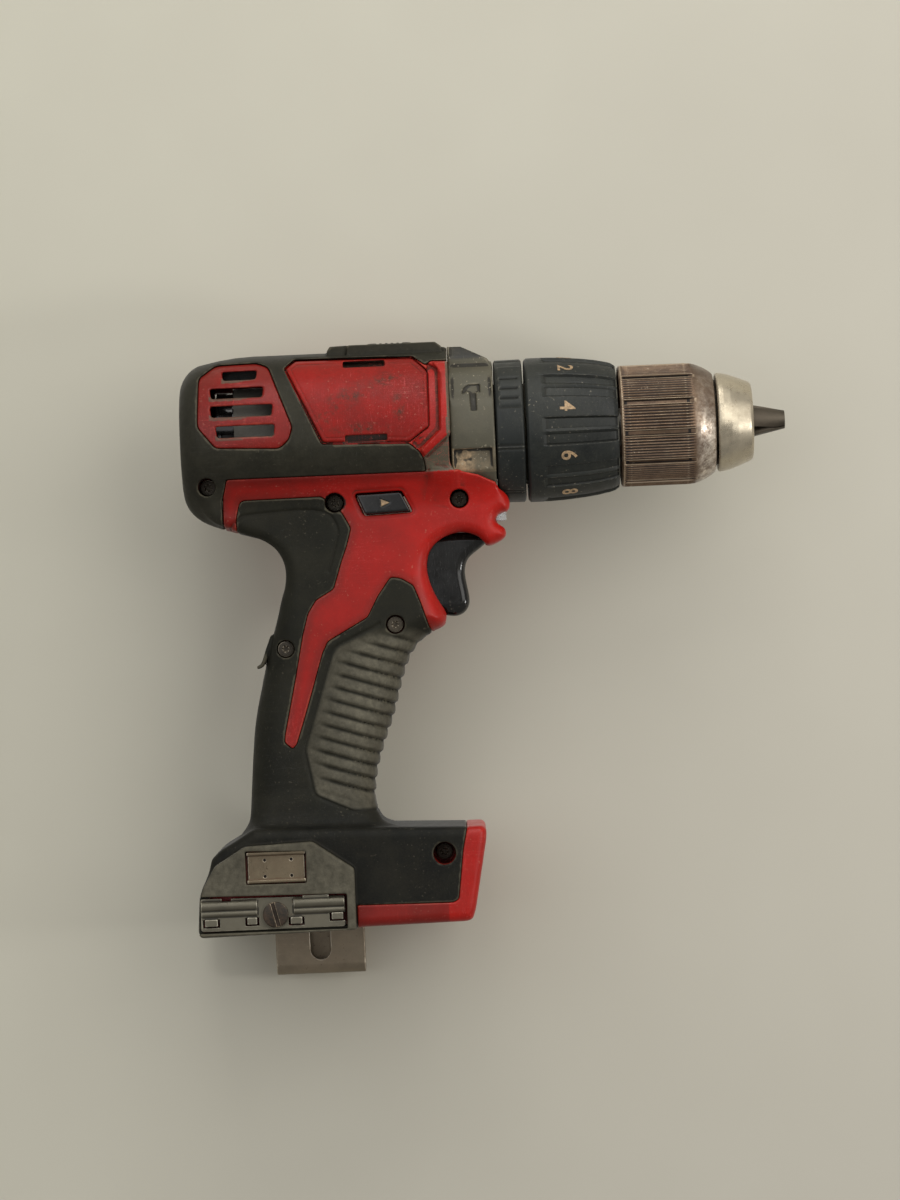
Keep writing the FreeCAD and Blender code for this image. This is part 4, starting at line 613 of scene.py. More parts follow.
# the second colour is a lighter worn polish on the sleeve's front with a painted highlight on its lower side
M["sleeve"] = finish_mat("sleeve_metal", lin(106, 86, 68), 0.38, metal=0.65, vary=0.4, dust=lin(60, 38, 25), dust_amt=0.7, dust_scale=150.0, wear=lin(172, 154, 130), wear_at=0.09,
                         wear_amt=0.75, grain=0.5, grain_size=0.35, speck=0.5, speck_col=lin(180, 164, 142), cav_at=0.035, cavity_shade=lin(17, 12, 9),
                         second=lin(214, 202, 186), second_attr="polished", patchy=0.1, shine=0.10)
M["nickel"] = finish_mat("nose_nickel", lin(184, 174, 154), 0.27, metal=0.85, vary=0.14, dust=lin(110, 94, 70), dust_amt=0.42, dust_scale=130.0, wear=lin(214, 206, 190), wear_at=0.10,
                         grain=0.4, grain_size=0.3, speck=0.6, speck_col=lin(96, 76, 52), scratch=0.4)
M["jaw"] = finish_mat("jaw_steel", lin(78, 71, 61), 0.42, metal=0.8, vary=0.2, dust=lin(76, 62, 46), dust_amt=0.4, wear=lin(170, 162, 148), wear_at=0.08, grain=0.4, grain_size=0.4)
M["steel"] = finish_mat("machined_steel", lin(150, 146, 138), 0.35, metal=0.9, vary=0.12, dust=lin(90, 80, 66), dust_amt=0.25, grain=0.3, grain_size=0.3)
M["dark_steel"] = finish_mat("oxide_steel", lin(52, 47, 40), 0.42, metal=0.7, vary=0.2, dust=lin(110, 98, 80), dust_amt=0.4, wear=lin(170, 160, 142), wear_at=0.08, grain=0.5, grain_size=0.4,
                             speck=0.5, speck_col=lin(160, 150, 130))
M["rusty"] = finish_mat("rusty_screw", lin(42, 37, 30), 0.5, metal=0.45, vary=0.3, dust=lin(92, 66, 44), dust_amt=0.6, dust_scale=200.0, wear=lin(150, 134, 112), wear_at=0.10,
                        grain=0.8, grain_size=0.5, cavity_shade=lin(22, 18, 14))
M["clip"] = finish_mat("clip_steel", lin(126, 115, 98), 0.36, metal=0.7, vary=0.24, dust=lin(118, 102, 82), dust_amt=0.4, wear=lin(196, 186, 168), wear_at=0.09, grain=0.4, grain_size=0.5,
                       speck=0.6, speck_col=lin(66, 50, 36), scratch=0.5)
M["spring"] = finish_mat("spring_steel", lin(100, 96, 84), 0.42, metal=0.7, vary=0.24, dust=lin(92, 86, 68), dust_amt=0.5, wear=lin(176, 170, 154), wear_at=0.10, grain=0.5, grain_size=0.4,
                         speck=0.6, speck_col=lin(80, 62, 44), cavity_shade=lin(40, 37, 30))
M["can"] = finish_mat("motor_can_zinc", lin(92, 90, 84), 0.45, metal=0.6, vary=0.2, dust=lin(60, 54, 44), dust_amt=0.6, grain=0.4, grain_size=0.4)
M["tray"] = finish_mat("tray_steel", lin(104, 93, 75), 0.36, metal=0.7, vary=0.3, dust=lin(84, 66, 46), dust_amt=0.5, dust_scale=180.0, wear=lin(190, 178, 158), wear_at=0.09, grain=0.4, grain_size=0.5,
                       speck=0.5, speck_col=lin(66, 50, 36), scratch=0.4)
M["sintered"] = finish_mat("sintered_gear", lin(96, 92, 86), 0.4, metal=0.8, vary=0.15, grain=0.8, grain_size=0.4, wear=lin(180, 176, 168), wear_at=0.08)
M["nylon"] = finish_mat("nylon", lin(206, 200, 182), 0.5, vary=0.08, dust=lin(120, 110, 92), dust_amt=0.25, grain=0.3, grain_size=0.5)
M["copper"] = finish_mat("enamel_copper", lin(158, 84, 44), 0.3, metal=0.8, vary=0.15, grain=0.5, grain_size=0.25, stretch=(0.1, 1, 1))
M["magnet"] = finish_mat("ferrite", lin(48, 47, 48), 0.6, vary=0.2, grain=0.8, grain_size=0.5)
M["carbon"] = finish_mat("carbon_brush", lin(34, 34, 35), 0.55, vary=0.2, grain=0.8, grain_size=0.4)
M["wire"] = finish_mat("wire_insulation", lin(130, 22, 18), 0.4, vary=0.1, grain=0.1, dust=DUST, dust_amt=0.2)
M["ink"] = finish_mat("dial_ink", lin(178, 148, 112), 0.5, vary=0.14, dust=lin(44, 43, 38), dust_amt=0.95, dust_scale=420.0, grain=0.3, grain_size=0.3)

lens = Nodes("lamp_lens")
lens.set("Base Color", (0.82, 0.86, 0.88, 1.0))
lens.set("Roughness", lens.ramp(lens.noise(900.0, 4.0), 0.3, 0.7, 0.12, 0.35))
lens.set("Transmission Weight", 0.55)
lens.link(lens.bump(lens.noise(700.0), 0.3, 0.0001), lens.bsdf.inputs["Normal"])
M["lens"] = lens.mat


# ================================================================ body outline
BODY = [
    (-100, -10), (-22, -10), (-16.0, -12.6), (-13.4, -13.7), (-6.6, -15.3), (-0.8, -18.1), (2.4, -21.4), (4.0, -24.4), (4.0, -27.0), (3.2, -28.3), (0.9, -28.5),
    (-0.9, -30.0), (-0.9, -32.2), (0.8, -33.4), (1.9, -34.2), (2.4, -35.8), (2.0, -37.6), (-1.8, -39.6), (-4.3, -40.1),
    (-5.6, -38.6), (-7.4, -36.6), (-10.5, -35.3), (-14.3, -34.7), (-19.4, -36.2), (-22.9, -38.6), (-25.2, -41.9), (-26.0, -46.1), (-25.6, -50.3), (-23.7, -55.9), (-21.7, -59.4),
    (-19.5, -62.9), (-19.6, -65.9), (-21.2, -67.9), (-25.1, -69.3), (-29.8, -73.4), (-32.7, -77.6), (-35.1, -83.5), (-37.6, -92.5),
    (-39.7, -99.6), (-42.4, -106.1), (-44.4, -112.1), (-45.8, -116.8), (-46.7, -122.8), (-47.2, -127.0), (-46.5, -131.3),
    (-44.8, -135.0), (-41.8, -137.5), (-42.0, -146.0), (-92.0, -146.0), (-93.6, -138.5), (-92.2, -135.3), (-91.2, -131.8), (-90.8, -123.4),
    (-89.5, -108.3), (-88.5, -99.3), (-87.0, -92.1), (-84.1, -80.2), (-82.3, -73.0), (-78.9, -62.7), (-77.2, -55.7),
    (-75.6, -51.6), (-75.1, -45.7), (-76.2, -41.4), (-78.6, -37.7), (-82.8, -34.7), (-88.3, -32.9), (-96.4, -29.8), (-101.5, -27.0), (-103.5, -20.0),
]
FOOT = [
    (-44.0, -136.2), (-16.1, -137.2), (-10.4, -137.1), (-9.0, -138.4), (-9.2, -141.8), (-13.8, -165.9), (-15.0, -169.4), (-17.0, -170.1),
    (-53.3, -170.6), (-56.2, -171.2), (-96.3, -172.0), (-109.2, -171.9), (-110.2, -170.5), (-109.4, -158.0), (-108.6, -155.4), (-106.0, -149.8),
    (-104.7, -144.8), (-101.4, -141.8), (-95.5, -138.5), (-90.0, -135.0),
]
PAD = [(-92.9, -140.7), (-69.5, -139.8), (-55.3, -149.7), (-55.4, -170.9), (-109.2, -171.6), (-110.1, -169.8), (-109.3, -158.6), (-107.9, -154.7), (-103.4, -147.0)]
OCTAGON = [(-96.9, 26.8), (-82.2, 27.0), (-78.2, 25.3), (-70.2, 3.5), (-71.7, -0.9), (-75.0, -3.7), (-97.3, -2.7), (-103.4, 4.9), (-102.7, 22.3)]
WINDOW = [(-72.2, 24.2), (-68.8, 27.3), (-28.1, 26.6), (-23.4, 22.1), (-22.8, 20.8), (-23.0, 1.9), (-29.9, -3.2), (-59.9, -2.3)]
CRIB = [(-15.95, 24.4), (-15.95, -0.8), (-24.8, -8.5), (-26.2, -6.3), (-19.2, 0.5), (-18.5, 20.2), (-21.0, 24.8)]
RED_TOP = [(-94.7, -14.7), (-93.7, -13.9), (-59.7, -13.8), (-26.1, -13.7), (-13.0, -13.6), (10, -12), (10, -45), (-19.0, -64.0), (-20.0, -69.5), (-25.1, -69.6),
           (-25.9, -67.9), (-28.7, -59.1), (-31.0, -52.9), (-35.2, -50.3), (-38.7, -49.8), (-43.2, -56.0), (-47.2, -63.4), (-61.4, -71.2), (-63.4, -75.1),
           (-67.5, -88.1), (-71.0, -98.8), (-73.7, -106.6), (-75.3, -108.3), (-78.2, -105.8), (-77.8, -102.8), (-73.3, -83.1), (-70.3, -68.7), (-68.1, -61.1),
           (-65.1, -56.5), (-58.8, -52.9), (-55.5, -42.9), (-53.7, -38.3), (-51.9, -32.1), (-54.8, -26.5), (-61.6, -20.7), (-88.9, -21.0), (-90.2, -21.9), (-91.5, -27.3),
           (-91.3, -35.0), (-96.4, -35.0), (-96.0, -21.6), (-95.4, -16.9)]
BARREL_RUBBER = [(-120, 45), (-15.8, 45), (-15.8, 24.9), (-21.6, 25.2), (-23.4, 23.6), (-28.0, 27.2), (-69.2, 27.8), (-72.8, 24.4), (-60.4, -2.9), (-30.0, -3.8), (-26.4, -7.0),
                 (-25.2, -9.6), (-24.7, -13.4), (-94.2, -13.4), (-96.3, -21.0), (-96.4, -40.0), (-120, -40)]
TROUGH = [(-23.0, 24.4), (-19.2, 22.2), (-19.5, 0.8), (-25.4, -4.7), (-27.0, -5.8), (-29.2, -3.7), (-22.9, 1.8), (-22.7, 20.9)]
CASE_PATCH = [(-26.0, -9.4), (-15.5, -0.9), (-14.0, -1.0), (-14.0, -13.55), (-25.2, -13.55)]
FOOT_RED = [(-15.8, -130.0), (-15.8, -137.2), (-17.5, -145.0), (-19.7, -162.1), (-21.5, -163.1), (-55.1, -162.7), (-55.1, -180.0), (0, -180.0), (0, -130.0)]
FLAP = [(-80.9, -69.0), (-82.6, -73.2), (-84.1, -77.0), (-85.0, -78.6), (-86.3, -79.3)]
STRAP_LINE = [(-96.2, -33.0), (-90.4, -26.4), (-87.0, -25.9), (-60.8, -24.5), (-55.8, -31.6), (-57.4, -38.0), (-61.7, -52.0)]
GRIP = [(-44.6, -67.1), (-58.5, -73.4), (-60.1, -75.8), (-70.8, -108.5), (-67.9, -124.3), (-54.9, -130.3), (-40.0, -130.0), (-18.0, -75.0), (-26.0, -69.8), (-38.0, -63.0)]
BUTTON = [(-49.6, -20.4), (-33.8, -20.0), (-30.4, -27.0), (-46.7, -27.6)]
SCREWS = [(-13.6, -23.3, -8.5, 3.3), (-101.2, -15.7, -9.5, 3.1), (-57.1, -22.9, -8.5, 3.4), (-37.7, -66.2, -14.4, 3.3), (-76.3, -73.2, -13.6, 3.1), (-23.9, -146.1, -12.5, 3.9)]
SLOTS = [((-94.8, 24.4), (-82.0, 21.0)), ((-99.0, 18.4), (-79.8, 14.6)), ((-99.0, 12.1), (-76.7, 8.0)), ((-97.2, 5.0), (-76.2, 0.8))]

g = Grid((-111.6, -35.2, -173.6), (5.4, 0.8, 34.0), FINE)
rho = np.sqrt(g.y ** 2 + g.z ** 2).astype(f4)
Rx = np.interp(g.x.ravel(), [-112, -108, -104, -100, -96, -90, -84, -15], [25.2, 26.4, 27.4, 28.2, 29.0, 29.8, 30.1, 30.2]).astype(f4)[:, None, None]
side = np.abs(g.y)


def barrel_field(inset=0.0):
    a = rho - (Rx - inset)
    b = -(g.x + 110.1 - inset)
    r = 8.0
    cap = np.sqrt(np.maximum(a + r, 0) ** 2 + np.maximum(b + r, 0) ** 2) + np.minimum(np.maximum(a + r, b + r), 0) - r
    taper = (side * 0.69 - g.z * 0.724) - (26.3 - inset)
    d = smax(cap, taper, 5.0)
    return np.maximum(d, g.x + 15.9).astype(f4)


h2 = g.xz(soften(BODY, 2))
width = np.interp(g.z.ravel(), [-146, -136, -130, -122, -105, -85, -66, -50, -20], [20.5, 19.2, 17.6, 16.6, 16.2, 16.2, 16.8, 17.0, 17.0]).astype(f4)[None, None, :]
rr = np.interp(g.z.ravel(), [-146, -134, -124, -80, -66, -52, -36, -20], [4.0, 6.0, 12.5, 12.5, 9.0, 6.0, 4.0, 4.0]).astype(f4)[None, None, :]
handle = slab(h2, side - width, rr)
foot = slab(g.xz(corners(FOOT, 1.2)), side - 27.0, 3.6)
pad = slab(g.xz(corners(PAD, 1.0)), side - 33.4, 1.0)
barrel = barrel_field()
Rn = np.interp(g.x.ravel(), [-22, -16, -11, -6, -0.8], [30.2, 30.1, 29.6, 28.9, 28.0]).astype(f4)[:, None, None]
under_nose = smax(rho - Rn, (side * 0.69 - g.z * 0.724) - np.interp(g.x.ravel(), [-22, -16, -0.8], [26.4, 28.2, 27.2]).astype(f4)[:, None, None], 5.0)
cradle = smax(under_nose, g.xz([(-22.0, -13.4), (-13.4, -13.7), (-6.6, -15.3), (-0.8, -18.1), (-0.4, -30.0), (-22.0, -30.0)]), 1.0)
F = smin(barrel, smin(handle, cradle, 4.0), 5.0)
F = smin(F, foot, 4.0)
F = smin(F, pad, 0.8)
top_frame = slab(g.xz([(-57.9, 26.0), (-57.8, 30.4), (-56.8, 32.0), (-50.5, 32.2), (-49.2, 30.35), (-26.6, 30.35), (-25.8, 31.6), (-19.0, 31.5), (-17.6, 30.4), (-16.0, 30.1), (-16.0, 26.0)]), side - 9.0, 0.6)
top_frame = np.minimum(top_frame, slab(g.xz([(-51.0, 27.0), (-50.6, 32.2), (-19.8, 32.2), (-17.6, 30.6), (-17.0, 27.0)]), np.abs(side - 9.3) - 0.6, 0.25))
front_room = np.maximum(rho - 25.25, -(g.x + 15.9))
case_flat = -21.9 - g.z
front_room = np.maximum(front_room, case_flat)
F = np.maximum(F, -front_room)
F = np.maximum(F, -np.maximum(rho - 25.9, -(g.x - 0.1)))

octa = g.xz(corners(OCTAGON, 1.5))
win = g.xz(corners(WINDOW, 0.8))
crib = g.xz(corners(CRIB, 0.6))
red_top = g.xz(corners(RED_TOP, 1.0))
rub_bar = g.xz(corners(BARREL_RUBBER, 0.8))
foot_red = g.xz(corners(FOOT_RED, 0.8))
butt = g.xz(corners(BUTTON, 0.7))
grip = g.xz(corners(GRIP, 1.6))
strap = g.xz_line(soften(STRAP_LINE, 2, closed=False))

# Relief, as a change of surface height (positive is proud).
relief = np.zeros(octa.shape, f4)
relief = relief - 0.9 * (1 - step(octa, 0.45)) * (g.z > -6)
relief = relief + 1.1 * (1 - step(crib, 0.35))
relief = relief - 1.3 * (1 - step(g.xz(corners(TROUGH, 0.5)), 0.3))
relief = relief - 0.5 * (1 - step(g.xz(corners(CASE_PATCH, 0.4)), 0.3))
relief = relief - 0.35 * (1 - step(butt - 1.6, 0.5))
relief = relief - 0.55 * np.exp(-(strap / 0.55) ** 2)
along = (g.x + 60.0) * 0.305 + g.z * 0.952
phase = along / 4.55
wave = (phase - np.floor(phase))
ridge = np.where(wave < 0.72, (wave / 0.72) ** 2.0, np.cos(np.clip((wave - 0.72) / 0.28, 0, 1) * math.pi / 2) ** 1.3)
fade = np.clip((-grip - 1.0) / 5.5, 0, 1)
relief = relief - fade * 0.85 * ridge - (1 - step(grip + 0.5, 0.35)) * 0.25 * np.clip((-67.0 - g.z) / 4.0, 0, 1)
relief = relief - 0.5 * np.exp(-((grip - 0.5) / 0.55) ** 2) * (g.x < -43)
SURF = F - relief
red_zone = np.minimum(np.minimum(red_top, octa), foot_red)
rubber_zone = np.maximum(rub_bar, -octa)
hand_zone = np.maximum(np.maximum(g.z + 20.0, -red_top), -foot_red)
hand_zone = np.maximum(hand_zone, -(np.maximum(rub_bar, -(g.z + 30.0))))
seam = smax


def notches(D, right):
    """Cuts shared by shell and rubber on one side."""
    D = np.maximum(D, g.y + 0.05)
    for i, (x, z, y, r) in enumerate(SCREWS):
        if right:
            D = smax(D, -np.maximum(g.cyl_y(x, z, r), g.y - (y + 2.1)), 0.5)
    D = smax(D, -np.maximum(butt - 0.35, g.y + 8.0), 0.35)
    room = g.xz([(-1.0, -34.9), (-3.2, -38.6), (-6.0, -41.5), (-9.0, -46.0), (-9.0, -66.0), (-19.5, -66.2), (-24.5, -64.2), (-44.0, -64.2), (-44.0, -34.6)])
    D = smax(D, -np.maximum(room, side - 9.2), 0.5)
    D = smax(D, -g.box(-41.6, -29.4, -4.3, 4.3, 18.0, 40.0), 0.3)
    D = smax(D, -g.box(-98.0, 20.0, -21.5, 21.5, -166.0, -158.5), 0.4)
    D = smax(D, -g.box(-98.0, 20.0, -17.5, 17.5, -190.0, -164.0), 0.4)
    D = smax(D, -g.box(-2.6, 12.0, -7.1, 7.1, -31.7, -27.7, 0.3), 0.4)
    if right:
        D = smax(D, -np.maximum(g.xz(corners([(-109.6, -157.4), (-58.2, -158.2), (-58.4, -170.4), (-110.6, -170.2)], 0.6)), g.y + 30.3), 0.3)
        D = smax(D, -np.maximum(g.xz(corners([(-92.8, -142.3), (-71.8, -143.0), (-71.9, -154.0), (-92.8, -153.8)], 0.5)), g.y + 31.05), 0.3)
        D = smax(D, -np.maximum(g.cyl_y(-83.1, -164.5, 5.1), g.y + 30.1), 0.3)
    else:
        D = smax(D, -g.box(-87.0, -53.0, -60.0, -31.65, -190.0, -144.0, 0.3), 0.4)
    return D


def vents(D):
    for (x0, z1), (x1, z0) in SLOTS:
        zc, zh = (z0 + z1) / 2, (z1 - z0) / 2 - 0.1
        s = np.maximum(g.xz(corners([(x0 + 0.7, zc - zh), (x1 - 0.7, zc - zh), (x1 - 0.2, zc + zh), (x0 + 0.2, zc + zh)], 0.9)), g.y + 6.0)
        D = smax(D, -s, 0.8)
    return D


wall_in = F + 3.1
skin_bar = np.maximum(np.maximum(SURF, -(F + 1.6)), rubber_zone)
skin_bar = smin(skin_bar, np.maximum(top_frame, -(F + 1.5)), 0.5)
skin_hand = np.maximum(np.maximum(SURF, -(F + 1.6)), hand_zone)
gap_bar = np.maximum(np.minimum(rubber_zone, top_frame) - 0.16, -(F + 1.72))
gap_hand = np.maximum(hand_zone - 0.16, -(F + 1.72))
panel_gap = np.maximum(win - 0.2, -(F + 1.9))
solid = np.maximum(SURF, -wall_in)
for x, z, y, r in SCREWS:
    solid = np.minimum(solid, np.maximum(np.maximum(g.cyl_y(x, z, 3.9 if r < 3.9 else 4.6), F + 0.3), -(g.cyl_x(0, 0, 19.2))))
roof = np.maximum(np.maximum(np.abs(g.z + 157.3) - 1.3, foot + 1.0), -(g.x + 102))
solid = np.minimum(solid, roof)
rails = np.maximum(np.maximum(foot + 1.0, -(side - 17.5)), g.z + 157.0)
solid = np.minimum(solid, rails)
baffle = np.maximum(g.box(-101.0, -78.6, -1.3, 1.3, 19.5, 40.0, 0.2), F + 2.0)
solid = np.minimum(solid, baffle)
plate = smax(np.maximum(g.box(-109.0, -57.0, -30.25, -28.3, -170.6, -142.0, 0.3), foot + 1.2), -g.cyl_y(-83.1, -164.5, 2.5), 0.1)
solid = np.minimum(solid, plate)
shell = smax(solid, -gap_bar, 0.35)
shell = smax(shell, -gap_hand, 0.35)
shell = smax(shell, -panel_gap, 0.35)
for zc in (25.0, -1.2):
    shell = smax(shell, -np.maximum(g.box(-52.6, -37.2, -60.0, 0.0, zc - 1.5, zc + 1.5, 0.3), -(F + 2.2)), 0.3)
del solid, rails, roof

# dark mask of the red shell: the pad's own dark rubber colour, plus painted shade in holes, slots and recesses
def shell_dark(v):
    out = ((np.abs(v[:, 1]) > 27.7) & (v[:, 2] < -130)).astype(float)
    # painted shade: the walls of the deep screw holes are darkened
    for x, z, y, r in (SCREWS[1], SCREWS[2], SCREWS[3], SCREWS[4]):
        out = np.maximum(out, (np.hypot(v[:, 0] - x, v[:, 2] - z) < r + 0.5) & (np.abs(v[:, 1]) < (30 if x < -100 else 18)))
    # painted shade inside the battery slot
    out = np.maximum(out, (np.abs(v[:, 1]) < 17.4) & (v[:, 2] < -155.5) & (v[:, 0] < -19.5))
    # painted shade in the two notches above and below the side badge
    for zc in (25.0, -1.2):
        out = np.maximum(out, (np.abs(v[:, 0] + 44.9) < 8.2) & (np.abs(v[:, 2] - zc) < 1.7) & (v[:, 1] < 0))
    # painted shade on the red along its edge with the rubber
    near = polygon(v[:, 0].astype(f4), v[:, 2].astype(f4), corners(RED_TOP, 1.0))
    out = np.maximum(out, 0.42 * np.clip(1 + near / 3.4, 0, 1) * (near < 0.5) * (v[:, 0] < -22))
    frame_ = polygon(v[:, 0].astype(f4), v[:, 2].astype(f4), corners(OCTAGON, 1.5)) < 0.3
    out = np.maximum(out, 0.34 * (frame_ & (v[:, 2] > -6)))
    # painted shade on the inner baffle seen through the vents
    out = np.maximum(out, (np.abs(v[:, 1]) < 2.0) & (v[:, 0] < -78) & (v[:, 2] > 18.5) & (np.hypot(v[:, 1], v[:, 2]) < 27.4))
    out = np.maximum(out, 0.42 * ((v[:, 2] < -159.5) & (v[:, 0] < -23.0)))
    # painted shade deep in the vent slots of the octagon panel
    deep = np.hypot(v[:, 1], v[:, 2]) < 25.4
    return np.maximum(out, 0.9 * (frame_ & deep & (v[:, 2] > -6) & (v[:, 0] > -106)))


def shell_olive(v):
    lip_highlight = np.zeros(len(v), bool)
    # painted highlight: a pale olive band along the lower lip of each vent slot
    for (x0, z1), (x1, z0) in SLOTS:
        lip_highlight |= (v[:, 0] > x0) & (v[:, 0] < x1) & (np.abs(v[:, 2] - z0) < 0.9) & (np.hypot(v[:, 1], v[:, 2]) < 29.0) & (np.hypot(v[:, 1], v[:, 2]) > 24.5)
    patch = [(-26.0, -9.4), (-16.9, -1.6), (-16.3, 26.0), (-12.0, 26.0), (-12.0, -13.2), (-25.2, -13.45)]
    return np.maximum((polygon(v[:, 0].astype(f4), v[:, 2].astype(f4), patch) < 0.1) & (np.abs(v[:, 1]) > 9), lip_highlight * 0.8)


for tag, right in (("right", True), ("left", False)):
    D = vents(notches(shell, right))
    o = from_field("housing_%s_shell" % tag, D, g, flip=not right, masks={"dark": shell_dark, "olive": shell_olive})
    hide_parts("housing_" + tag)
    paint(o, M["red"])
    ride(o, "tool")
    D = smax(notches(skin_bar, right), np.maximum(skin_bar, -99), 0.3)
    o = from_field("barrel_rubber_%s" % tag, D, g, flip=not right, masks={"pale": lambda v: v[:, 0] * 0 + 0.16, "soot": lambda v: v[:, 0] * 0})
    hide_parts("barrel_overmold_" + tag)
    paint(o, M["rubber"])
    ride(o, "tool")
    D = notches(skin_hand, right)
    if right:
        D = smin(D, np.sqrt(np.maximum(g.xz_line(FLAP), 0) ** 2 + (np.abs(g.y + 7.0) - 1.4).clip(0) ** 2) - np.clip(0.62 + (g.z + 79.0) * 0.05, 0.4, 0.95), 0.5)

    def pale(v):
        d = polygon(v[:, 0].astype(f4), v[:, 2].astype(f4), corners(GRIP, 1.6))
        w_ = (((v[:, 0] + 60.0) * 0.305 + v[:, 2] * 0.952) / 4.55) % 1.0
        # painted shade: a thin dark line along the step of each grip rib
        rib_step_shade = np.exp(-(((w_ - 0.74 + 0.5) % 1.0 - 0.5) * 4.55 / 0.55) ** 2) * np.clip((-d - 2.0) / 4.5, 0, 1)
        tone_ = (0.5 + 0.5 * np.clip((v[:, 0] + 70.0 + (v[:, 2] + 100.0) * -0.25) / 16.0, 0, 1)) * np.clip((-67.0 - v[:, 2]) / 5.0, 0, 1)
        return np.clip(-d / 0.8, 0, 1) * tone_ * (1 - 0.85 * rib_step_shade) + 0.95 * (np.abs(v[:, 1]) > 31.0)

    # darker towards the bottom of the foot
    def soot(v):
        return np.clip((-126.0 - v[:, 2]) / 12.0, 0, 0.8) * (np.abs(v[:, 1]) < 28.5)

    o = from_field("handle_rubber_%s" % tag, D, g, flip=not right, masks={"pale": pale, "soot": soot})
    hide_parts("handle_overmold_" + tag)
    paint(o, M["rubber"])
    ride(o, "tool")

# ------------------------------------------------------------- side badges
gp = Grid((-74.0, -33.0, -6.0), (-21.0, -8.0, 30.0), 0.4)
rp = np.sqrt(gp.y ** 2 + gp.z ** 2)
wp = gp.xz(corners(WINDOW, 0.8))
badge = smax(smax(rp - 29.95, 28.4 - rp, 0.2), wp + 0.15, 0.9)
badge = badge + 0.22 * (np.clip((wp + 2.0) / 0.5, 0, 1) * np.clip((-1.3 - wp) / 0.4, 0, 1))
for zc in (25.0, -1.2):
    badge = smax(badge, -np.maximum(gp.xz(corners([(-52.2, zc - 1.1), (-37.6, zc - 1.1), (-37.6, zc + 1.1), (-52.2, zc + 1.1)], 0.5)), gp.y + 4), 0.3)
for tag, flip in (("right", False), ("left", True)):
    def smudge(v):
        out = 0
        for x, z, a, b, t in ((-51.5, 13.0, 7.5, 3.2, 0.5), (-37.5, 19.0, 6.5, 2.2, 0.3), (-58.5, 6.5, 3.0, 2.2, 0.0), (-33.2, 9.0, 2.0, 5.0, 0.0), (-46.5, 2.0, 9.0, 1.8, 0.0)):
            u_, w_ = (v[:, 0] - x) * math.cos(t) + (v[:, 2] - z) * math.sin(t), -(v[:, 0] - x) * math.sin(t) + (v[:, 2] - z) * math.cos(t)
            out = np.maximum(out, np.clip(1.5 - np.hypot(u_ / a, w_ / b), 0, 1))
        return out

    o = from_field("side_badge_" + tag, badge, gp, flip=flip, masks={"smudge": smudge})
    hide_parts("side_panel_" + tag)
    paint(o, M["red_barrel"])
    ride(o, "tool")

# ------------------------------------------------------------------- trigger
gt = Grid((-50.0, -9.6, -65.6), (-2.8, 9.6, -34.0), 0.3)
TRIG = [(-12.0, -35.0), (-7.5, -35.2), (-4.4, -36.1), (-3.9, -38.1), (-6.0, -40.1), (-9.5, -42.5), (-11.7, -44.6), (-12.7, -47.9), (-12.5, -51.3), (-11.5, -56.5),
        (-11.3, -59.9), (-12.5, -62.4), (-14.7, -64.0), (-17.7, -64.3), (-21.0, -63.4), (-24.0, -62.0), (-36.4, -62.0), (-36.4, -35.4), (-20.0, -34.95)]
tw = np.interp(gt.z.ravel(), [-64, -60, -48, -38, -35], [8.2, 8.6, 8.5, 8.5, 8.0]).astype(f4)[None, None, :]
trig = slab(gt.xz(soften(TRIG, 2)), np.abs(gt.y) - tw, 3.0)
trig = np.maximum(trig, -gt.box(-38.0, -24.0, -6.8, 6.8, -60.0, -38.0))
plun = np.maximum(np.sqrt(gt.y ** 2 + (gt.z + 48.0) ** 2) - 2.5, np.maximum(-(gt.x + 48.7), gt.x + 24.0))
o = from_field("trigger_blade", np.minimum(trig, plun), gt)
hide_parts("trigger")
paint(o, M["black"])
ride(o, "trigger")

# ---------------------------------------------------------- direction button
gb = Grid((-51.0, -20.0, -29.0), (-29.0, 20.0, -19.0), 0.3)
btn = slab(gb.xz(corners(BUTTON, 0.9)) + 0.15, np.abs(gb.y) - 18.9, 0.7)
tri = gb.xz(corners([(-41.0, -22.2), (-41.0, -25.2), (-37.6, -23.7)], 0.3))
btn = smax(btn, -np.maximum(tri, 18.6 - np.abs(gb.y)), 0.2)
o = from_field("direction_button_cap", btn, gb)
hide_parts("direction_button")
paint(o, M["black"])
ride(o, "direction_button")
gm = Grid((-42.0, -19.6, -27.0), (-36.0, 19.6, -21.0), 0.3)
mark = np.maximum(gm.xz([(-40.9, -22.4), (-40.9, -25.0), (-37.9, -23.7)]), np.abs(np.abs(gm.y) - 18.55) - 0.3)
o = from_field("direction_button_marks", mark, gm)
paint(o, M["ink"])
ride(o, "direction_button")

# ------------------------------------------------------------ speed selector
gs = Grid((-46.0, -9.4, 23.0), (-26.0, 9.4, 33.4), 0.3)
knob = slab(gs.xz([(-44.3, 30.5), (-43.4, 32.3), (-42.0, 32.45), (-29.6, 32.45), (-28.2, 32.3), (-27.3, 30.5)]), np.abs(gs.y) - 8.4, 0.6)
for k in range(5):
    knob = smax(knob, -np.maximum(np.abs(gs.x + 39.8 - k * 2.0) - 0.45, 31.9 - gs.z), 0.3)
stem = gs.box(-36.4, -30.6, -3.0, 3.0, 24.0, 31.0, 0.3)
o = from_field("speed_selector_knob", np.minimum(knob, stem), gs)
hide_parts("speed_selector")
paint(o, M["black"])
ride(o, "speed_selector")

# ----------------------------------------------------------------- gear case
gc = Grid((-43.0, -26.0, -26.0), (39.0, 26.0, 31.4), 0.5)
rc = np.sqrt(gc.y ** 2 + gc.z ** 2).astype(f4)


def ring(gr, r, x0, x1, r0, r1, k=0.4):
    return smax(smax(r - r1, r0 - r, k), smax(gr.x - x1, x0 - gr.x, k), k)


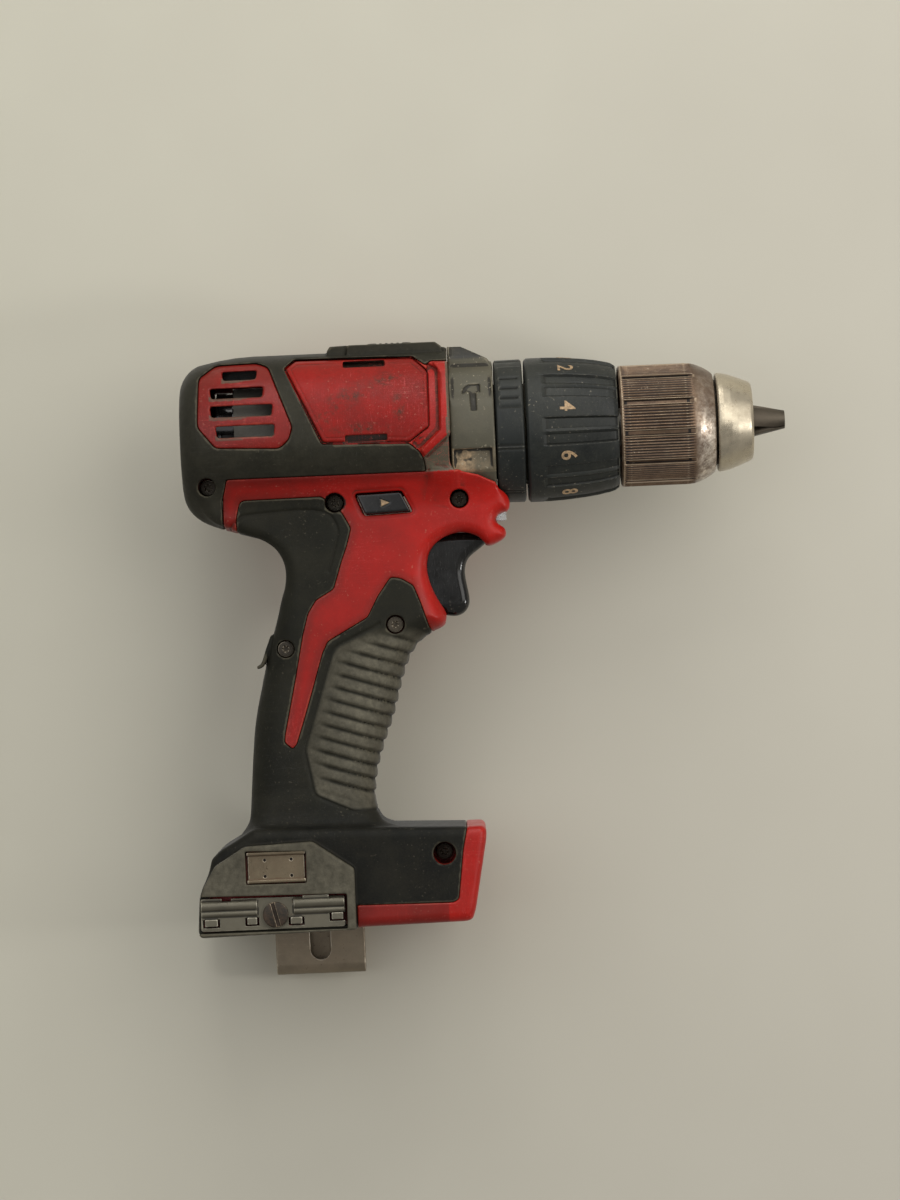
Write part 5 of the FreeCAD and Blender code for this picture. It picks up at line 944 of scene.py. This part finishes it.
case = np.minimum(ring(gc, rc, -42.0, -1.4, 19.3, 21.5), ring(gc, rc, -15.7, -0.2, 19.3, 24.9, 0.8))
case = np.minimum(case, ring(gc, rc, -2.2, -0.2, 9.4, 24.2, 0.3))
case = np.minimum(case, ring(gc, rc, -2.2, 38.0, 11.5, 16.5))
case = np.minimum(case, ring(gc, rc, 36.0, 38.0, 11.0, 16.5))
ramp = slab(gc.xz([(-15.7, 19.5), (-15.7, 30.3), (-10.9, 30.2), (-7.5, 28.5), (-1.7, 25.5), (-0.5, 23.5), (-0.5, 19.5)]), np.abs(gc.y) - 9.5, 0.8)
case = smin(case, np.maximum(ramp, 19.3 - rc), 0.8)
# flats, a recess and a slot, as cast
case = smax(case, -np.maximum(np.maximum(-(gc.x + 14.8), gc.x + 1.0), np.maximum(-(np.abs(gc.y) * 0.77 + gc.z * 0.64 - 24.0), -99)), 0.6)
recess = np.maximum(gc.xz(corners([(-14.8, -6.4), (-1.4, -6.2), (-1.4, -13.8), (-14.8, -14.2)], 0.5)), 20.9 - np.abs(gc.y) - 0.0)
case = smax(case, -recess, 0.35)
case = smax(case, -gc.box(-28.2, -21.6, -2.3, 2.3, 15.0, 25.0), 0.3)
case = np.maximum(case, -21.8 - gc.z)
# hammer pictogram, sunk in the right face
hx, hz = 0.0, 0.0
head = gc.xz(corners([(-11.2, 12.9), (-10.6, 14.9), (-9.3, 16.0), (-4.8, 16.1), (-4.8, 13.3), (-8.9, 13.5), (-9.5, 13.9), (-10.2, 13.2)], 0.2))
grip_h = gc.xz(corners([(-8.5, 14.0), (-6.3, 14.0), (-6.2, 6.8), (-8.2, 6.8)], 0.2))
picto = np.maximum(np.minimum(head, grip_h), gc.y)
case = smax(case, -np.maximum(picto, -(case + 0.8)), 0.12)
case = smax(case, -gc.cyl_y(-13.6, -23.3, 3.3), 0.2)
scab = (value_noise(gc, 1.6, 5) + 0.6 * value_noise(gc, 0.9, 6)) * 0.42 * (1 - step(gc.xz([(-14.6, -6.6), (-8.4, -6.4), (-8.8, -13.6), (-14.6, -13.8)]), 0.5)) * (gc.y < 0)
case = np.where(rc < 19.8, case, case - scab)
def bare(v):
    inside = np.clip((v[:, 0] + 15.6) / 0.5, 0, 1) * np.clip((-7.0 - v[:, 0]) / 2.0, 0, 1) * (v[:, 2] < -6.2) * (v[:, 2] > -14.4) * (v[:, 1] < -12)
    return inside * 0.85 + 0.25 * (v[:, 2] < -6.2) * (v[:, 2] > -14.4) * (v[:, 1] < -12)
o = from_field("gear_case_casting", case, gc, masks={"bare": bare, "hood": lambda v: np.clip((v[:, 2] - 25.4) / 0.6, 0, 1) * (v[:, 0] < 0)})
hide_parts("gear_case")
paint(o, M["case"])
ride(o, "tool")
# ------------------------------------------------------------------- collars
mode_profile = refine([(0.3, 20.6), (0.3, 24.3), (0.8, 25.0), (9.6, 25.1), (10.1, 24.4), (10.1, 20.6)], 0.25, 0.6)


def mode_shape(X, R, T):
    deg = np.degrees(T)
    deg = (deg + 180) % 360 - 180
    out = R.copy()
    top = R > 23.5
    # the lug that is pushed to turn it, on the tool's right above the middle
    lug = (np.clip((deg - 17) / 2.5, 0, 1) * np.clip((62 - deg) / 2.5, 0, 1)) * np.clip((X - 1.2) / 0.6, 0, 1)
    out = out + top * lug * 0.55
    for c in (25.0, 34.0, 44.0):
        out = out - top * 0.5 * np.clip(1.6 - np.abs(deg - c) / 0.9, 0, 1) * np.clip((X - 1.6) / 0.5, 0, 1) * np.clip((8.6 - X) / 0.5, 0, 1)
    for c in range(-150, 200, 45):
        d = np.abs(((deg - c + 180) % 360) - 180)
        out = out - top * 0.45 * np.clip(1 - np.abs(d - 1.5) / 1.0, 0, 1) * ((d < 20) & ((deg < 10) | (deg > 70)))
    return out


o = turned("mode_collar_ring", mode_profile, 360, mode_shape)
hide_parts("mode_collar")
paint(o, M["collar"])
ride(o, "mode_collar")

clutch_profile = refine([(10.9, 20.6), (10.9, 24.4), (11.7, 25.3), (16.0, 25.3), (19.1, 25.3), (24.0, 25.05), (28.1, 24.7), (32.0, 24.3), (36.1, 23.7), (40.0, 22.9),
                         (41.6, 22.4), (43.0, 21.4), (43.0, 20.2), (40.0, 20.6)], 0.2, 0.5)
NUM_DEG = [16.5 + 40 * k for k in range(9)]


def clutch_shape(X, R, T):
    deg = (np.degrees(T) - 16.5) % 40.0
    deg = np.where(deg > 20, deg - 40, deg)
    a = np.abs(deg)
    top = R > 21.6
    body = np.clip((X - 16.4) / 1.6, 0, 1) * np.clip((43.4 - X) / 1.2, 0, 1)
    pad_ = np.clip((9.2 - a) / 0.8, 0, 1)
    ridge_ = np.clip(1 - np.abs(a - 20) / 2.4, 0, 1) ** 0.7
    valley = -0.7 * (1 - pad_) + 0.7 * ridge_ * (1 - pad_)
    rim_ = -0.2 * np.clip(1 - np.abs(a - 9.4) / 0.7, 0, 1)
    return R + top * body * (valley + rim_)


o = turned("clutch_collar_ring", clutch_profile, 720, clutch_shape)
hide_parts("clutch_collar")
paint(o, M["collar"])
ride(o, "clutch_collar")


def numeral(text, deg, x, radius, size):
    cu = bpy.data.curves.new("t", "FONT")
    cu.body = text
    cu.size = size * MM
    cu.align_x = "CENTER"
    cu.align_y = "CENTER"
    cu.extrude = 0.10 * MM
    cu.offset = 0.10 * MM
    cu.resolution_u = 6
    ob = bpy.data.objects.new("t", cu)
    bpy.context.scene.collection.objects.link(ob)
    bpy.context.view_layer.update()
    me = bpy.data.meshes.new_from_object(ob.evaluated_get(bpy.context.evaluated_depsgraph_get()))
    bpy.data.objects.remove(ob)
    v = np.zeros(len(me.vertices) * 3)
    me.vertices.foreach_get("co", v)
    v = v.reshape(-1, 3) / MM
    # text up (+Y of the glyph) points along +X of the tool; text right runs downwards on the right side
    th = math.radians(deg) - v[:, 0] / radius
    rad = radius + v[:, 2] + (x - (x + v[:, 1])) * 0.085
    w = np.stack([x + v[:, 1], -rad * np.cos(th), rad * np.sin(th)], 1)
    me.vertices.foreach_set("co", (w * MM).astype(f4).ravel())
    me.update()
    n = bpy.data.objects.new("t", me)
    bpy.context.scene.collection.objects.link(n)
    return n


digits = []
for k, deg in enumerate(NUM_DEG):
    value = (4 - 2 * k - 2) % 18 + 2
    digits.append(numeral(str(value), deg, 25.0, 24.98, 7.6))
o = join("clutch_numerals", digits)
paint(o, M["ink"])
ride(o, "clutch_collar")

# --------------------------------------------------------------------- chuck
sleeve_profile = refine([(43.8, 19.4), (43.8, 20.7), (44.4, 21.3), (47.0, 21.3), (67.0, 21.3), (69.5, 21.1), (71.5, 20.5), (73.5, 19.6), (75.4, 18.5), (76.6, 17.6), (77.0, 17.1),
                         (77.0, 15.5), (72.5, 17.25), (68.0, 17.25), (67.2, 19.4)], 0.18, 0.45)


def sleeve_shape(X, R, T):
    deg = (np.degrees(T) - 21.0) % 30.0
    deg = np.where(deg > 15, deg - 30, deg)
    a = np.abs(deg)
    top = (R > 20.6) & (X < 71.0)
    run = np.clip((X - 44.6) / 1.0, 0, 1) * np.clip((70.0 - X) / 2.6, 0, 1)
    wide = -1.1 * np.clip((2.5 - a) / 0.5, 0, 1)
    fine = -0.42 * (0.5 + 0.5 * np.cos(np.radians((a - 3.4) * 360.0 / 2.9))) * np.clip((a - 3.0) / 0.5, 0, 1)
    return R + top * run * (wide + fine)


o = turned("chuck_sleeve_ring", sleeve_profile, 1080, sleeve_shape)
sv = np.zeros(len(o.data.vertices) * 3)
o.data.vertices.foreach_get("co", sv)
# polish on the front of the sleeve, brightened further towards its lower side as a painted highlight
attribute(o, "polished", np.clip((sv[0::3] / MM - 69.5) / 3.0, 0, 1) * (0.25 + 0.75 * np.clip((9.0 - sv[2::3] / MM) / 12.0, 0, 1)))
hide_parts("chuck_sleeve")
paint(o, M["sleeve"])
ride(o, "chuck_sleeve")

nose_profile = refine([(77.9, 15.1), (77.9, 16.9), (78.5, 17.4), (80.2, 17.2), (82.6, 16.6), (85.0, 15.75), (87.4, 14.8), (89.6, 13.9), (90.3, 13.3), (90.5, 12.6), (90.5, 11.3), (90.45, 9.4), (90.0, 9.1),
                       (89.12, 9.2), (89.12, 10.5)], 0.2, 0.5)
o = turned("chuck_nose_cap", nose_profile, 192, None)
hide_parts("chuck_nose_ring")
paint(o, M["nickel"])
ride(o, "chuck")

# -------------------------------------------------------------------- screws
gw = Grid((-3.2, -0.4, -3.2), (3.2, 21.0, 3.2), 0.15)
rw = np.sqrt(gw.x ** 2 + gw.z ** 2)
head = smax(smax(rw - 2.75, gw.y - 2.0, 0.2), -gw.y + 0.12 * (rw / 2.75) ** 2, 0.3)
aw = np.arctan2(gw.z, gw.x)
lobe = rw - (1.15 + 0.24 * np.cos(6 * aw))
head = smax(head, -np.maximum(lobe, gw.y - 1.5), 0.12)
pitch = np.abs(((gw.y * 0.9 + aw / (2 * math.pi)) % 1.0) - 0.5)
thread = np.maximum(rw - (1.16 + 0.26 * (1 - 2 * pitch)), np.maximum(gw.y - 19.5, 1.6 - gw.y))
one = from_field("screw", np.minimum(head, thread), gw, relax=1)
copies = []
for x, z, y, r in SCREWS:
    c = bpy.data.objects.new("s", one.data)
    c.matrix_world = Matrix.Translation(Vector((x, y, z)) * MM) @ Matrix.Rotation(x, 4, "Y")
    bpy.context.scene.collection.objects.link(c)
    copies.append(c)
bpy.context.view_layer.update()
o = join("housing_screw_set", copies)
bpy.data.objects.remove(one)
for p in o.data.polygons:
    p.use_smooth = True
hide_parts("housing_screws")
paint(o, M["dark_steel"])
ride(o, "tool")

# --------------------------------------------------------- bit holder and tray
gh = Grid((-110.4, -34.0, -171.2), (-57.6, -29.6, -157.2), 0.2)
YR = -31.35
sheet_ = slab(gh.xz(corners([(-108.9, -158.2), (-59.0, -158.9), (-59.2, -169.6), (-109.0, -169.6)], 1.0)), np.abs(gh.y - (YR + 0.5)) - 0.45, 0.2)
wing = np.minimum(np.maximum(-(gh.x + 108.8), gh.x + 88.9), np.maximum(-(gh.x + 77.4), gh.x + 59.2))
wing = np.maximum(-(gh.x + 108.8), np.maximum(gh.x + 59.2, -(np.maximum(-(gh.x + 89.4), gh.x + 76.8))))
hold = sheet_
for zc, rad in ((-160.8, 1.75), (-163.5, 1.05)):
    rt = np.sqrt((gh.y - (YR + 0.35)) ** 2 + (gh.z - zc) ** 2)
    trough = smax(np.maximum(rt - rad, (rad - 0.7) - rt), wing, 0.3)
    trough = np.maximum(trough, gh.y - (YR + 0.9))
    hold = smin(hold, trough, 0.4)
for x0, x1, zc in ((-107.6, -103.2, -166.7), (-93.0, -89.6, -166.5), (-78.0, -74.0, -166.9), (-63.8, -59.8, -165.9)):
    hold = smax(hold, -gh.box(x0 - 0.7, x1 + 0.7, YR - 3, YR + 2, zc - 1.6, zc + 1.2, 0.2), 0.15)
    hold = smin(hold, gh.box(x0, x1, YR - 0.95, YR + 0.2, zc - 1.1, zc + 1.3, 0.25), 0.2)
hold = smin(hold, gh.box(-73.6, -64.6, YR - 0.75, YR + 0.5, -159.3, -158.2, 0.2), 0.2)
hold = smax(hold, -gh.box(-101.6, -98.4, YR - 3, YR + 2, -159.3, -157.0, 0.2), 0.15)
hold = smax(hold, -np.maximum(gh.cyl_y(-83.1, -164.5, 5.0), gh.y - (YR - 0.02)), 0.2)
hold = smax(hold, -gh.cyl_y(-83.1, -164.5, 2.15), 0.1)
o = from_field("bit_holder_spring", hold, gh)
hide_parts("bit_holder")
paint(o, M["spring"])
ride(o, "tool")

gy = Grid((-94.0, -33.6, -155.0), (-70.8, -30.4, -141.6), 0.2)
tray = gy.box(-92.0, -72.4, -32.0, -31.2, -152.8, -143.6, 0.15)
for x in (-86.2, -77.0):
    for z in (-151.2, -145.6):
        tray = smax(tray, -gy.cyl_y(x, z, 0.5), 0.15)
for z0, z1 in ((-143.9, -142.7), (-153.5, -152.3)):
    tray = smin(tray, gy.box(-92.4, -72.0, -32.9, -31.2, z0, z1, 0.4), 0.3)
o = from_field("magnet_tray_plate", tray, gy)
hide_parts("magnet_tray")
paint(o, M["tray"])
ride(o, "tool")

# ------------------------------------------------------------------ belt clip
gk = Grid((-87.4, 31.0, -193.8), (-52.6, 45.4, -141.8), 0.3)
T_ = 1.5
cy = 31.75
path = [(cy + 0.75, -146.5), (cy + 0.75, -186.2), (cy + 1.2, -188.1), (cy + 2.6, -189.5), (cy + 4.6, -189.95), (cy + 6.6, -189.4), (cy + 7.7, -187.9), (cy + 7.95, -185.7),
        (cy + 7.95, -151.0), (cy + 8.7, -149.0), (cy + 11.4, -143.8)]
strip_ = polyline(gk.y[0, :, :], gk.z[0, :, :], soften(path, 2, closed=False))[None, :, :] - 0.72
front_face = np.abs(gk.x + 70.0) - 16.0
clip = smax(strip_, front_face, 0.5)
clip = smax(clip, -np.maximum(np.minimum(gk.box(-73.6, -66.4, 20.0, 36.0, -181.6, -171.0, 0.8), gk.cyl_y(-70.0, -181.6, 3.6)), gk.y - 36.0), 0.3)
clip = smax(clip, -np.maximum(gk.cyl_y(-70.0, -164.5, 2.2), gk.y - 36.0), 0.2)
clip = smax(clip, -np.maximum(gk.cyl_y(-70.0, -164.5, 4.6), 36.0 - gk.y), 0.2)
o = from_field("belt_clip_hook", clip, gk)
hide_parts("belt_clip")
paint(o, M["clip"])
ride(o, "tool")

# ---------------------------------------------------------- accessory screws
def slot_screw(name, x, y, z, sgn):
    gz = Grid((-5.2, -0.5, -5.2), (5.2, 13.5, 5.2), 0.2)
    r_ = np.sqrt(gz.x ** 2 + gz.z ** 2)
    hd = smax(smax(r_ - 4.4, gz.y - 2.2, 0.2), -gz.y + 0.5 * (r_ / 4.4) ** 2, 0.4)
    hd = smax(hd, -np.maximum(np.abs(gz.x * 0.97 + gz.z * 0.24) - 0.6, gz.y - 1.1), 0.15)
    an = np.arctan2(gz.z, gz.x)
    pt = np.abs(((gz.y * 0.9 + an / (2 * math.pi)) % 1.0) - 0.5)
    th_ = np.maximum(r_ - (1.75 + 0.24 * (1 - 2 * pt)), np.maximum(gz.y - 13.0, 1.8 - gz.y))
    ob = from_field(name, np.minimum(hd, th_), gz, relax=1)
    m = Matrix.Translation(Vector((x, y, z)) * MM)
    if sgn < 0:
        m = m @ Matrix.Rotation(math.pi, 4, "Z")
    ob.data.transform(m)
    return ob


o = join("accessory_screw_pair", [slot_screw("a", -83.1, YR - 2.2, -164.5, 1), slot_screw("b", -70.0, cy + T_ + 2.25, -164.5, -1)])
for p in o.data.polygons:
    p.use_smooth = True
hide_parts("accessory_screws")
paint(o, M["rusty"])
ride(o, "tool")

# ------------------------------------------------------------------ lamp lens
gl = Grid((-3.2, -8.0, -32.6), (3.6, 8.0, -27.0), 0.3)
len_ = smax(gl.box(-2.3, 3.0, -6.9, 6.9, -31.4, -27.9, 0.4), np.sqrt((gl.x + 6.4) ** 2 + gl.y ** 2) - 9.2, 0.4)
o = from_field("lamp_lens_cap", len_, gl)
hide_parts("led_lens")
paint(o, M["lens"])
ride(o, "tool")

# --------------------------------------------- carried over from the CAD frame
KEEP = {
    "chuck_body": "dark_steel", "chuck_nut": "steel", "chuck_jaw_1": "jaw", "chuck_jaw_2": "jaw", "chuck_jaw_3": "jaw", "spindle": "steel", "spindle_bearing": "steel",
    "carrier_1": "sintered", "carrier_2": "sintered", "ring_gear_1": "nylon", "shift_ring_gear": "sintered", "ring_gear_3": "sintered", "shift_fork": "spring",
    "motor_can": "can", "motor_magnets": "magnet", "rotor_shaft": "steel", "rotor_core": "dark_steel", "rotor_windings": "copper", "commutator": "copper",
    "cooling_fan": "black", "brush_holder": "black", "carbon_brushes": "carbon", "motor_bearings": "steel", "switch_body": "black", "terminal_block": "black",
    "wiring": "wire", "clutch_thrust_plate": "steel", "clutch_nut": "steel", "clutch_spring": "spring",
}
for name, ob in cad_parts.items():
    if ob.hide_render:
        continue
    key = KEEP.get(name) or ("nylon" if name.startswith("planet_1") else "sintered" if name.startswith("planet") else None)
    if key is None:
        print("no finish for", name)
        key = "steel"
    paint(ob, M[key])
for k in (1, 2, 3):
    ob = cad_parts["chuck_jaw_%d" % k]
    m = ob.modifiers.new("soft_edges", "BEVEL")
    m.width = 0.00018
    m.segments = 2
    m.limit_method = "ANGLE"
    m.angle_limit = math.radians(30)

# ------------------------------------------------------------ floor and lights
W, H = 900, 1200
cx, cz, roll = -18.3, -58.5, math.radians(2.45)
floor_m = Nodes("floor")
sep = floor_m.new("ShaderNodeSeparateXYZ")
floor_m.link(floor_m.co, sep.inputs[0])
# painted light falloff on the floor: lighter towards the upper left, darker towards the lower right
floor_falloff = floor_m.ramp(floor_m.math("ADD", sep.outputs[0], floor_m.math("MULTIPLY", sep.outputs[2], -0.35)), -0.32, 0.12)
tint = floor_m.mix(floor_falloff, lin(192, 189, 174), lin(184, 180, 168))
floor_m.set("Base Color", floor_m.mix(floor_m.ramp(floor_m.noise(9.0, 3.0), 0.3, 0.7, 0.0, 0.25), tint, lin(170, 165, 152)))
floor_m.set("Roughness", 0.75)
floor_m.link(floor_m.bump(floor_m.noise(500.0, 3.0), 0.1, 0.0001), floor_m.bsdf.inputs["Normal"])
geo = floor_m.new("ShaderNodeNewGeometry")
clear = floor_m.new("ShaderNodeBsdfTransparent")
sw = floor_m.new("ShaderNodeMixShader")
ray = floor_m.new("ShaderNodeLightPath")
floor_m.link(floor_m.math("MAXIMUM", geo.outputs["Backfacing"], ray.outputs["Is Shadow Ray"]), sw.inputs[0])
floor_m.link(floor_m.bsdf.outputs[0], sw.inputs[1])
floor_m.link(clear.outputs[0], sw.inputs[2])
floor_m.link(sw.outputs[0], floor_m.out.inputs[0])
me = bpy.data.meshes.new("floor")
me.from_pydata([(-1.1, 0.0462, -1.1), (0.95, 0.0462, -1.1), (0.95, 0.0462, 1.0), (-1.1, 0.0462, 1.0)], [], [(0, 1, 2, 3)])
floor = bpy.data.objects.new("floor", me)
bpy.context.scene.collection.objects.link(floor)
floor.data.materials.append(floor_m.mat)


def area(name, loc, target, size, power, color=(1, 1, 1), size_y=None):
    li = bpy.data.lights.new(name, "AREA")
    li.energy = power
    li.color = color
    li.shape = "RECTANGLE"
    li.size = size
    li.size_y = size_y or size
    ob = bpy.data.objects.new(name, li)
    ob.location = loc
    ob.rotation_euler = (Vector(target) - Vector(loc)).to_track_quat("-Z", "Y").to_euler()
    bpy.context.scene.collection.objects.link(ob)
    return ob


mid = (-0.117, 0.0, -0.06)
area("key", (0.55, -0.95, 0.35), mid, 0.9, 6.0, (1.0, 0.98, 0.94))
area("glint", (0.60, -0.42, -0.16), mid, 0.10, 1.3, (1.0, 0.99, 0.97))
area("fill", (-0.65, -1.0, 0.30), mid, 1.2, 5.4, (0.98, 0.99, 1.0))
area("top", (0.0, -0.50, 1.0), mid, 0.8, 6.0, (1.0, 0.99, 0.95))
area("back_high", (-0.30, 1.20, 0.35), mid, 0.9, 8.0, (1.0, 0.98, 0.95))
area("back_low", (0.15, 1.25, -0.25), mid, 0.9, 5.0, (0.97, 0.98, 1.0))
world = bpy.data.worlds.new("world")
bpy.context.scene.world = world
world.use_nodes = True
bg = world.node_tree.nodes["Background"]
bg.inputs[0].default_value = (0.80, 0.78, 0.74, 1.0)
bg.inputs[1].default_value = 0.40

cam_d = bpy.data.cameras.new("camera")
cam = bpy.data.objects.new("camera", cam_d)
bpy.context.scene.collection.objects.link(cam)
cam_d.sensor_fit = "VERTICAL"
cam_d.sensor_height = 24.0
dist = 1.7
cam_d.lens = 24.0 / (0.42 / (dist - 0.010))
cam_d.clip_start = 0.01
c_, s_ = math.cos(roll), math.sin(roll)
right_v, up_v, back_v = Vector((c_, 0, -s_)), Vector((s_, 0, c_)), Vector((0, -1, 0))
rot = Matrix((right_v, up_v, back_v)).transposed().to_4x4()
cam.matrix_world = Matrix.Translation(Vector((cx * MM + SHIFT, -dist, cz * MM))) @ rot
bpy.context.scene.camera = cam
bpy.context.scene.view_settings.view_transform = "Standard"

bpy.context.view_layer.update()
